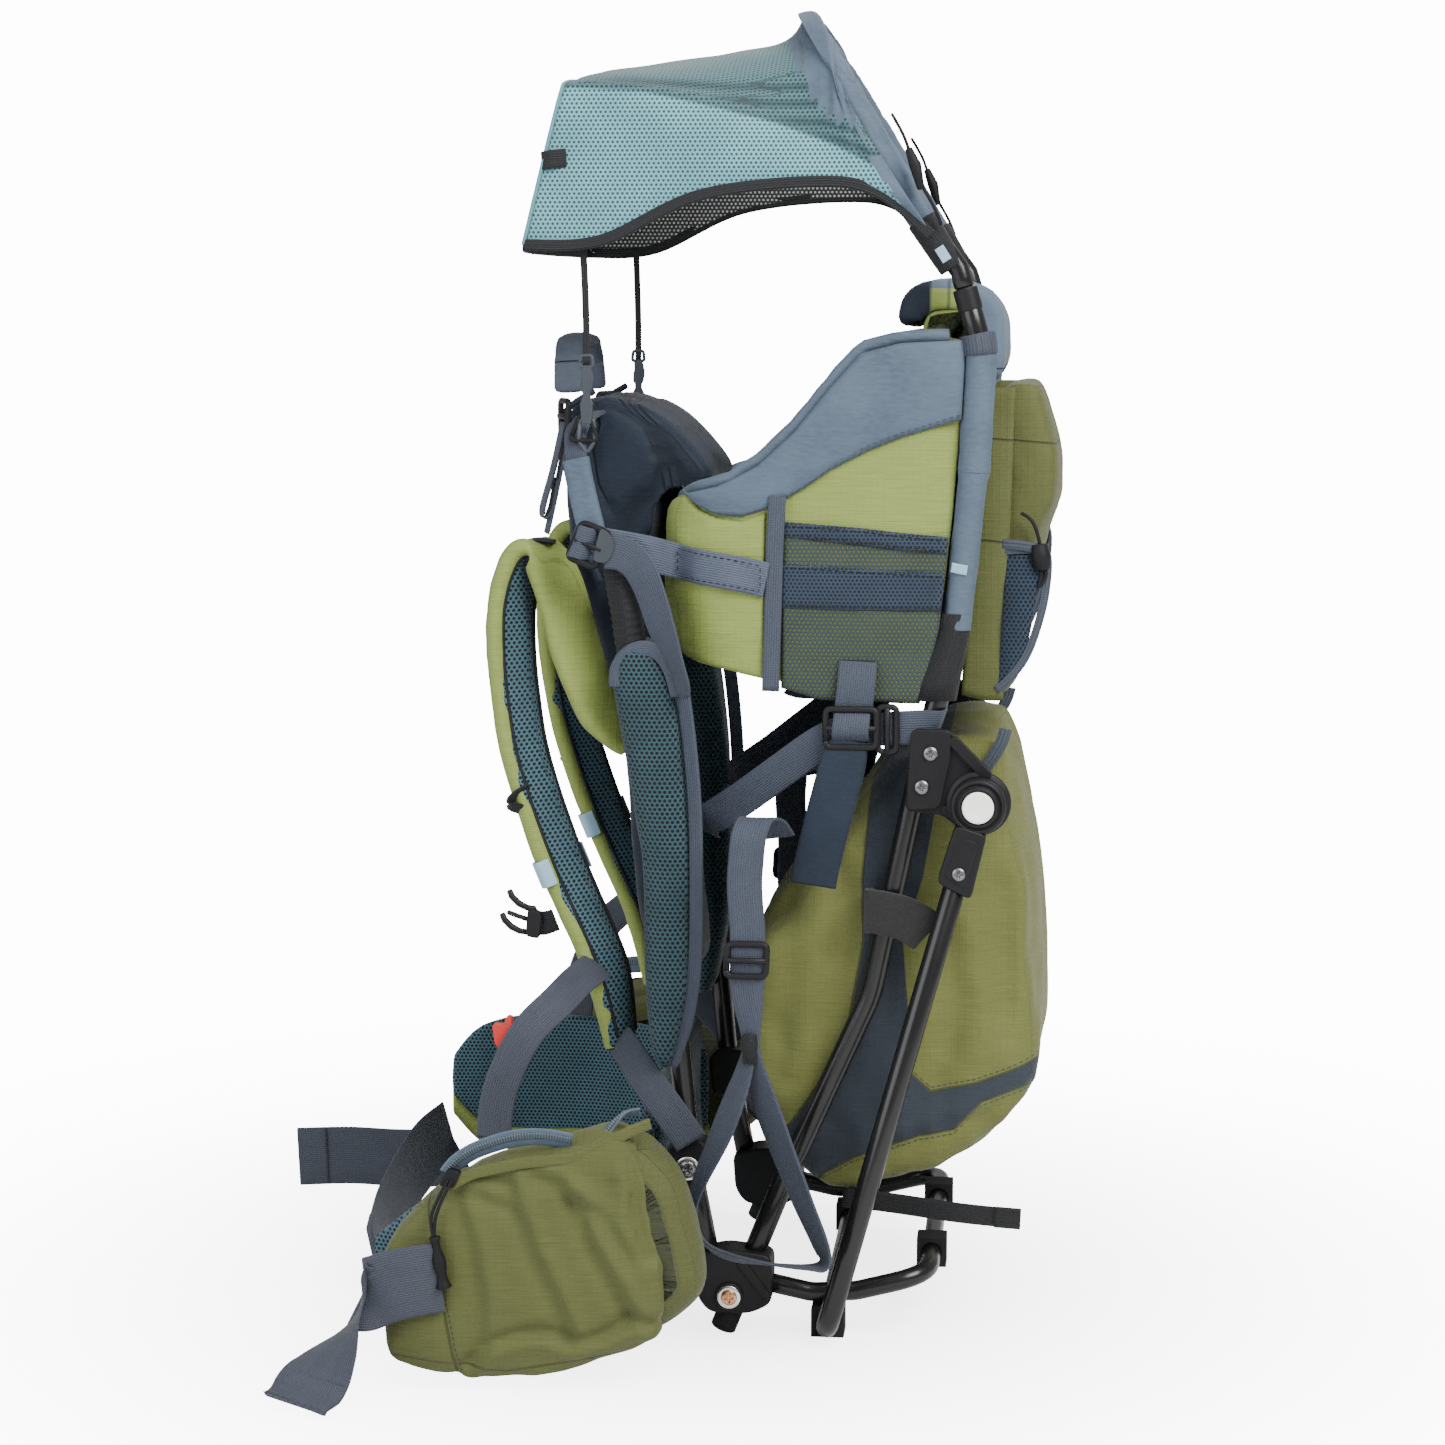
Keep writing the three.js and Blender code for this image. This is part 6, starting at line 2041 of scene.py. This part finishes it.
for hand, s in HANDS:
    body_name = f"hip_{hand}"
    zip_run = [(-160, 151), (-154, 158), (-143, 166), (-129, 172), (-111, 177), (-92, 178), (-73, 175)]
    tape_at = [((s * (288 - 3 * i / 6), y, z + 4), (0.45 * s, 0.1, 0.9))
               for i, (y, z) in enumerate(zip_run)]
    webbing(f"pouch_zip_tape_{hand}", tape_at, 15, body_name, GRAY, 1.6)
    teeth = strap(f"pouch_zip_coil_{hand}", [((x + s * 1.1, y, z + 1.3), w) for (x, y, z), w in tape_at],
                  5.5, 2.4, ZIP, per_span=6)
    finish_piece(teeth, body_name)
    far_run = [((s * 277, -54, 178), (0.8 * s, 0.5, 0.3)), ((s * 276, -47, 188), (0.8 * s, 0.5, 0.3)),
               ((s * 274, -38, 196), (0.8 * s, 0.3, 0.5)), ((s * 272, -28, 198), (0.8 * s, 0.1, 0.6))]
    webbing(f"pouch_zip_far_tape_{hand}", far_run, 13, body_name, GRAY, 1.6)
    far_teeth = strap(f"pouch_zip_far_coil_{hand}",
                      [((x + s * 1.2, y - 1, z + 1.2), w) for (x, y, z), w in far_run], 5.5, 2.4, ZIP,
                      per_span=6)
    finish_piece(far_teeth, body_name)
    lip_run = [((s * x, y, z), (0, 0.4, 1)) for x, y, z in
               ((290, -158, 147), (292, -142, 156), (292, -128, 160), (291, -105, 165), (289, -71, 169),
                (287, -50, 178), (285, -34, 187), (280, -20, 192))]
    webbing(f"pouch_lip_{hand}", lip_run, 8, body_name, POUCH_CLOTH, 2.4, per_span=8)
    slider = plate(f"pouch_zip_slider_{hand}",
                   smooth_outline([(-165, 148), (-158, 160), (-149, 158), (-154, 146)], 3), s * 287,
                   s * 294, SOFT_PLASTIC, 1.4)
    finish_piece(slider, body_name)
    for k, shift in enumerate((0, 3)):
        pull_cord = tube(f"pouch_zip_cord_{hand}_{k}",
                         catmull([vec(s * 294, -158 + shift, 152), vec(s * 297, -164 + shift, 140),
                                  vec(s * 298, -169 + shift, 126), vec(s * 298, -167, 110)], 6),
                         1.2, SOFT_PLASTIC, sides=10, end_round=0.4)
        finish_piece(pull_cord, body_name)
    pull_tab = tube(f"pouch_zip_pull_{hand}",
                    [vec(s * 297, -167 + (112 - z) * 0.18, z) for z in (113, 110, 104, 98, 92, 86, 80, 77)],
                    lambda t: 3.2 + 1.0 * math.cos(4 * math.pi * t) + 1.6 * t, SOFT_PLASTIC, sides=18)
    finish_piece(pull_tab, body_name)


BELT_BAND = [((296, -163, 84), (0, 0.1, 1)), ((298.5, -178, 82), (0, 0.14, 1)),
             ((299.5, -196, 78), (0, 0.28, 1)), ((299, -212, 72), (0, 0.42, 0.9)),
             ((295, -218, 69), (0, 0.45, 0.9)), ((289, -213, 71), (0, 0.45, 0.9)),
             ((286, -200, 75), (0, 0.4, 0.9))]
BELT_LEFT = [((287, -200, 74), (0, 0.45, 0.9)), ((292, -216, 62), (0, 0.55, 0.83)),
             ((304, -229, 46), (-0.05, 0.66, 0.76)), ((320, -240, 28), (-0.2, 0.85, 0.5)),
             ((334, -249, 13), (-0.27, 0.95, 0.15)), ((346, -255, 8.5), (-0.27, 0.96, 0))]
BELT_RIGHT = [((-197, -247, 42), (0, 0.3, 1)), ((-199, -264, 30), (0, 0.1, 1)),
              ((-204, -300, 27), (0, 0, 1)), ((-204, -340, 28), (0, 0, 1)),
              ((-199, -384, 27), (0, -0.2, 1))]
BELT_CROSS = [((-199, -253, 55), (0.6, -0.28, 0.72)), ((-150, -262, 50), (0.3, -0.35, 0.86)),
              ((-80, -266, 43), (0, -0.3, 1)), ((0, -264, 36), (0, -0.3, 1)),
              ((84, -256, 31), (0, -0.2, 1))]


def run_length(points):
    """The length of a line of points."""
    return sum((b - a).length for a, b in zip(points, points[1:]))


BELTS = (("left", BELT_LEFT, "hip_left"), ("band", BELT_BAND, "hip_left"),
         ("right", BELT_RIGHT, "hip_right"), ("cross", BELT_CROSS, "hip_right"))
for label, route, body_name in BELTS:
    piece = strap(f"belt_strap_{label}", route, 50, 1.9, BELT_WEB, per_span=10)
    centre = catmull([vec(*c) for c, _ in route], 10)
    finish_piece(piece, body_name, [f"belt_webbing_{'left' if label == 'band' else label}"])
    round(run_length(centre) * MM, 4)
    if label != "band":
        ways = catmull([vec(*w) for _, w in route], 10)
        back = len(centre) - 1
        while (centre[-1] - centre[back]).length < 24:
            back -= 1
        hem = strap(f"belt_hem_{label}",
                    [(tuple(centre[k]), tuple(ways[k])) for k in range(back, len(centre), 2)], 49.4, 4.6,
                    BELT_WEB, per_span=3)
        finish_piece(hem, body_name)


# ---------------------------------------------------------------- stirrups
STIRRUP_HANGER = [((152, 56, 370), (0, 1, 0)), ((168, 50, 383), (0, 1, 0)), ((184, 43, 387), (0, 1, 0)),
                  ((193, 39, 378), (0, 1, 0)), ((194, 37, 360), (0, 1, 0)), ((194, 36, 340), (0, 1, -0.03)),
                  ((194, 38, 310), (0, 1, 0)), ((194, 38, 290), (0, 1, 0)), ((193, 38, 265), (0.1, 1, 0)),
                  ((193, 40, 240), (0.3, 1, 0)), ((193, 41, 222), (0.5, 1, 0))]
STIRRUP_RING = [((193, 40, 226), (0.5, 0.8, 0)), ((193, 33, 200), (0.6, 0.8, 0.2)),
                ((193, 18, 160), (0.7, 0.7, 0.3)), ((193, 4, 128), (0.8, 0.5, 0.3)),
                ((193, -1, 108), (0.9, 0.3, 0.2)), ((193, 5, 86), (1, 0.2, 0.3)),
                ((193, 22, 74), (1, 0, 0.55)), ((193, 50, 69), (1, 0, 0.35)),
                ((193, 80, 67), (1, 0.05, 0.2)), ((193, 92, 70), (0.9, 0.3, 0)),
                ((193, 90, 84), (0.8, 0.6, 0)), ((193, 76, 118), (0.7, 0.7, 0.1)),
                ((193, 58, 165), (0.6, 0.8, 0.1)), ((193, 45, 205), (0.5, 0.9, 0)),
                ((193, 42, 226), (0.5, 0.8, 0))]
for hand, s in HANDS:
    ring_strap = strap(f"stirrup_loop_{hand}", sided(s, STIRRUP_RING), 25, 2.4, WEB, per_span=6,
                  taper=lambda t: 0.45 + 0.55 * smooth(min(t, 1 - t) / 0.14))
    hanger = strap(f"stirrup_hanger_{hand}", sided(s, STIRRUP_HANGER), 25, 2.4, WEB, per_span=6,
                   taper=lambda t: 1.0 if t < 0.75 else 1.0 - 0.5 * smooth((t - 0.75) / 0.25))
    finish_piece(join(f"look_stirrup_{hand}", [ring_strap, hanger]), f"stirrup_{hand}",
                 [f"stirrup_{hand}"])
    knot = tube(f"stirrup_gather_{hand}", [vec(s * 193, 40, z) for z in (236, 230, 222, 214)],
                lambda t: 6.5 - 1.5 * abs(t - 0.5), WEB_DARK, sides=14)
    sculpt(knot, lambda p, n: n * 1.2 * ripple(p, 5, 3))
    finish_piece(knot, f"stirrup_{hand}")
    glide = tri_glide(f"stirrup_glide_{hand}", vec(s * 196, 37.5, 289), vec(0, 1, 0), vec(0, 0.05, 1),
                      vec(s, 0, 0), 28, 23)
    finish_piece(glide, f"stirrup_{hand}")

# ---------------------------------------------------------------- straps and small hardware
for hand, s in HANDS:
    # arm from the back pad's shoulder out to the ladder lock that takes the cockpit's webbing
    webbing(f"shoulder_arm_webbing_{hand}",
            sided(s, [((88, -84, 668), (0.1, 1, 0.1)), ((112, -88, 664), (0.1, 1, 0.1)),
                      ((132, -91, 655), (0.2, 1, 0.1)), ((138, -90, 640), (0.3, 1, 0.2)),
                      ((140, -89, 630), (0.3, 1, 0.2))]), 17, thickness=3)
    webbing(f"shoulder_arm_{hand}",
            sided(s, [((139, -90, 637), (0.3, 1, 0.2)), ((141, -87, 622), (0.3, 1, 0.2)),
                      ((145, -82, 602), (0.2, 1, 0.2)), ((149, -77, 584), (0.1, 1, 0.2)),
                      ((151, -75, 572), (0, 1, 0.2))]), 20, material=GRAY, thickness=6)
    lock = tri_glide(f"ladder_lock_{hand}", vec(s * 155, -79, 577), vec(0, 0.9, -0.36), vec(0, 0.4, 0.92),
                     vec(s, 0, 0), 21, 27, SOFT_PLASTIC)
    finish_piece(lock, "frame")
    tab = plate(f"ladder_lock_tab_{hand}",
                smooth_outline([(-76, 566), (-70, 590), (-62, 584), (-60, 574), (-66, 564)], 4), s * 154,
                s * 158, GRAY_PLASTIC, 1.2)
    finish_piece(tab, "frame")
    webbing(f"ladder_lock_wrap_{hand}", sided(s, facing((0, 0.4, 0.92), (153, -76, 577), (157, -81, 578),
                                                        (157, -88, 580), (153, -91, 580))), 24)
    webbing(f"ladder_lock_tail_{hand}",
            sided(s, [((155, -66, 573), (0, 0.3, 0.95)), ((157, -54, 571), (0, 0.34, 0.94)),
                      ((159, -43, 562), (0.2, 0.75, 0.6)), ((159, -35, 545), (0.4, 0.85, 0.35)),
                      ((159, -27, 520), (0.5, 0.8, 0.25)), ((159, -18, 494), (0.7, 0.6, 0.2)),
                      ((158, -10, 470), (0.8, 0.5, 0.2))]), 25, per_span=8,
            taper=lambda t: 1.0 if t < 0.93 else 1.0 - 5.5 * (t - 0.93))

    # load lifter at the top of the shoulder strap, with its free end folded up
    webbing(f"load_lifter_{hand}", sided(s, facing((0.9, 0.3, 0), (104, -100, 667), (108, -105, 634),
                                                   (110, -111, 604), (111, -116, 582))), 19)
    webbing(f"load_lifter_anchor_{hand}",
            sided(s, facing((0.9, 0.3, 0), (111, -110, 576), (111, -124, 577), (111, -140, 570),
                            (111, -149, 553))), 15, material=WEB_DARK, thickness=3)
    webbing(f"load_lifter_tail_{hand}",
            sided(s, facing((0.9, 0.35, 0), (106, -104, 662), (108, -111, 630), (109, -119, 601),
                            (109, -118, 594), (109, -113, 600), (108, -109, 622))), 17)
    glide = tri_glide(f"load_lifter_glide_{hand}", vec(s * 106, -103, 666), vec(s * 0.9, 0.35, 0),
                      vec(0, 0, 1), vec(s * 0.35, -0.9, 0), 26, 22)
    finish_piece(glide, "frame")
    ring = frame_bar(f"shoulder_ring_{hand}",
                     [vec(s * 140, -94, 650), vec(s * 140, -74, 650), vec(s * 140, -80, 668),
                      vec(s * 140, -87, 668)], 1.8, SOFT_PLASTIC)
    finish_piece(ring, "frame")

    # tab, glide and padded strap under the cockpit
    webbing(f"cockpit_tab_{hand}", sided(s, facing((0, 1, 0), (152, 112, 496), (154, 111, 480),
                                                   (152.5, 109, 462), (151, 107, 444))), 27)
    webbing(f"cockpit_tab_turn_{hand}", sided(s, facing((0, 1, 0), (152, 108, 462), (157.5, 108, 456),
                                                        (158, 107, 446), (152, 107, 439))), 26)
    finish_piece(tri_glide(f"cockpit_glide_{hand}", vec(s * 155.5, 107.5, 449), vec(0, 1, 0), vec(0, 0, 1),
                           vec(s, 0, 0), 36, 27), "frame")
    webbing(f"cockpit_padded_strap_{hand}",
            sided(s, [((152, 106, 440), (0, 1, -0.05)), ((155, 101, 420), (0, 1, -0.05)),
                      ((156, 92, 385), (0, 1, -0.03)), ((154, 84, 352), (0, 1, 0)),
                      ((153, 81, 336), (0, 1, 0.05))]), 33, material=NAVY_SHELL, thickness=6,
            taper=lambda t: 0.85 + 0.15 * smooth(t * 4))
    webbing(f"cockpit_side_webbing_{hand}",
            sided(s, [((152, 112, 448), (0, 0, 1)), ((150, 128, 448), (0, 0, 1)),
                      ((149.5, 142, 449), (0, 0, 1)), ((151, 156, 450), (0, 0.1, 1)),
                      ((149, 168, 451), (0.3, 0.3, 1)), ((138, 171, 452), (0.3, 0.3, 1))]), 24)
    finish_piece(tri_glide(f"cockpit_side_glide_{hand}", vec(s * 151.5, 133, 448), vec(0, 0, 1),
                           vec(0, 1, 0), vec(s, 0, 0), 32, 13), "frame")
    webbing(f"cockpit_diagonal_{hand}",
            sided(s, [((150, 104, 446), (0, -0.5, 0.86)), ((146, 84, 436), (0, -0.55, 0.83)),
                      ((138, 56, 415), (0, -0.6, 0.8)), ((130, 30, 395), (0, -0.6, 0.8)),
                      ((124, 10, 381), (0.1, -0.6, 0.8)), ((117, 0, 374), (0.4, -0.5, 0.8)),
                      ((106, -2, 366), (0.7, -0.2, 0.6))]), 25)

    # hook-and-loop strap that holds the folded kickstand to the tube
    webbing(f"kickstand_keeper_{hand}",
            sided(s, [((128, 122, 314), (0, 0, 1)), ((138, 118, 315), (0, 0, 1)),
                      ((150, 122, 317), (0, 0, 1)), ((154, 134, 316), (0, 0.1, 1)),
                      ((156, 147, 313), (0, 0.2, 1)), ((158, 157, 308), (0, 0.35, 1)),
                      ((156, 163, 303), (0.2, 0.4, 1))]), 32, material=FUZZ, thickness=3.2)

    # strap from the shoulder strap's foot to the stay bracket, and the one to the hip wing
    webbing(f"shoulder_foot_webbing_{hand}",
            sided(s, [((118, -64, 212), (0.2, 0.7, 0.7)), ((130, -52, 200), (0.1, 0.75, 0.65)),
                      ((148, -36, 184), (0, 0.8, 0.6)), ((157, -20, 166), (0, 0.8, 0.6)),
                      ((158, -6, 146), (0, 0.9, 0.4))]), 25, material=BELT_WEB)
    webbing(f"hip_tension_webbing_{hand}",
            sided(s, [((124, -78, 268), (0.1, 0.8, -0.6)), ((152, -88, 263), (0.1, 0.8, -0.6)),
                      ((180, -99, 253), (0, 0.75, -0.66)), ((193, -119, 233), (0, 0.84, -0.54)),
                      ((197, -134, 204), (0, 0.93, -0.36)), ((198, -141, 180), (0, 0.98, -0.19)),
                      ((199, -143, 156), (0, 1, -0.05))]), 25, material=BELT_WEB)
    # tail under the lower bag
    if s > 0:
        tail = facing((0.4, 0, 0.9), (116, 101, 97), (119, 140, 94), (121, 186, 89), (122, 229, 86))
        webbing("bag_bottom_webbing", tail, 18, material=WEB_DARK, thickness=2.6)
        webbing("bag_bottom_hem", [((122, 212, 87), (0.4, 0, 0.9)), ((122.4, 231, 86), (0.4, 0, 0.9))],
                17.6, material=WEB_DARK, thickness=5)
    # foot of the shoulder strap's loop and a seam loop half way up its front
    webbing(f"shoulder_strap_loop_{hand}",
            sided(s, facing((0.6, 0, 0.8), (122, -128, 398), (126, -138, 392), (127, -142, 386),
                            (124, -134, 382))), 10, material=WEB_DARK)

# whistle on the left hip tension webbing
whistle = plate("whistle",
                smooth_outline([(-146, 236), (-137, 236), (-136, 242), (-132, 242), (-131, 229),
                                (-137, 224), (-139, 216), (-144, 222)], 2), 178, 186, SIGNAL_RED, 1.5)
finish_piece(whistle, "frame")

# plug half of the chest buckle: a webbing loop, a body and two prongs either side of a guide
buckle_loop = strap("chest_buckle_loop",
                    [((119, -110, 300), (0.3, 0, 1)), ((119, -116, 298), (0.2, 0, 1)),
                     ((118, -121, 297), (0, 0, 1)), ((118, -126, 298), (0, 0, 1))], 18, 2.2, WEB_DARK)
buckle_body = plate("chest_buckle_body", smooth_outline([(-132, 288), (-122, 286), (-120, 304),
                                                         (-130, 310)], 3), 114, 123, PLASTIC, 1.4)
for k, (dy, dz) in enumerate(((0, 0), (5.6, 17.5))):
    prong = tube(f"chest_buckle_prong_{k}",
                 [vec(118.5, y + dy, z + dz)
                  for y, z in ((-130, 290), (-137, 291), (-143, 294), (-148, 299), (-150, 304))],
                 lambda t: 2.6 - 0.8 * abs(t - 0.6), PLASTIC, sides=14)
    buckle_body = join("chest_buckle_body", [buckle_body, prong])
guide = tube("chest_buckle_guide", [vec(118.5, y, z) for y, z in ((-128, 299), (-138, 302), (-146, 305))],
             1.9, PLASTIC, sides=12)
finish_piece(join("chest_buckle_plug", [buckle_body, guide]), "chest_buckle",
             ["sternum_buckle"])
finish_piece(buckle_loop, "chest_buckle", ["sternum_buckle"])
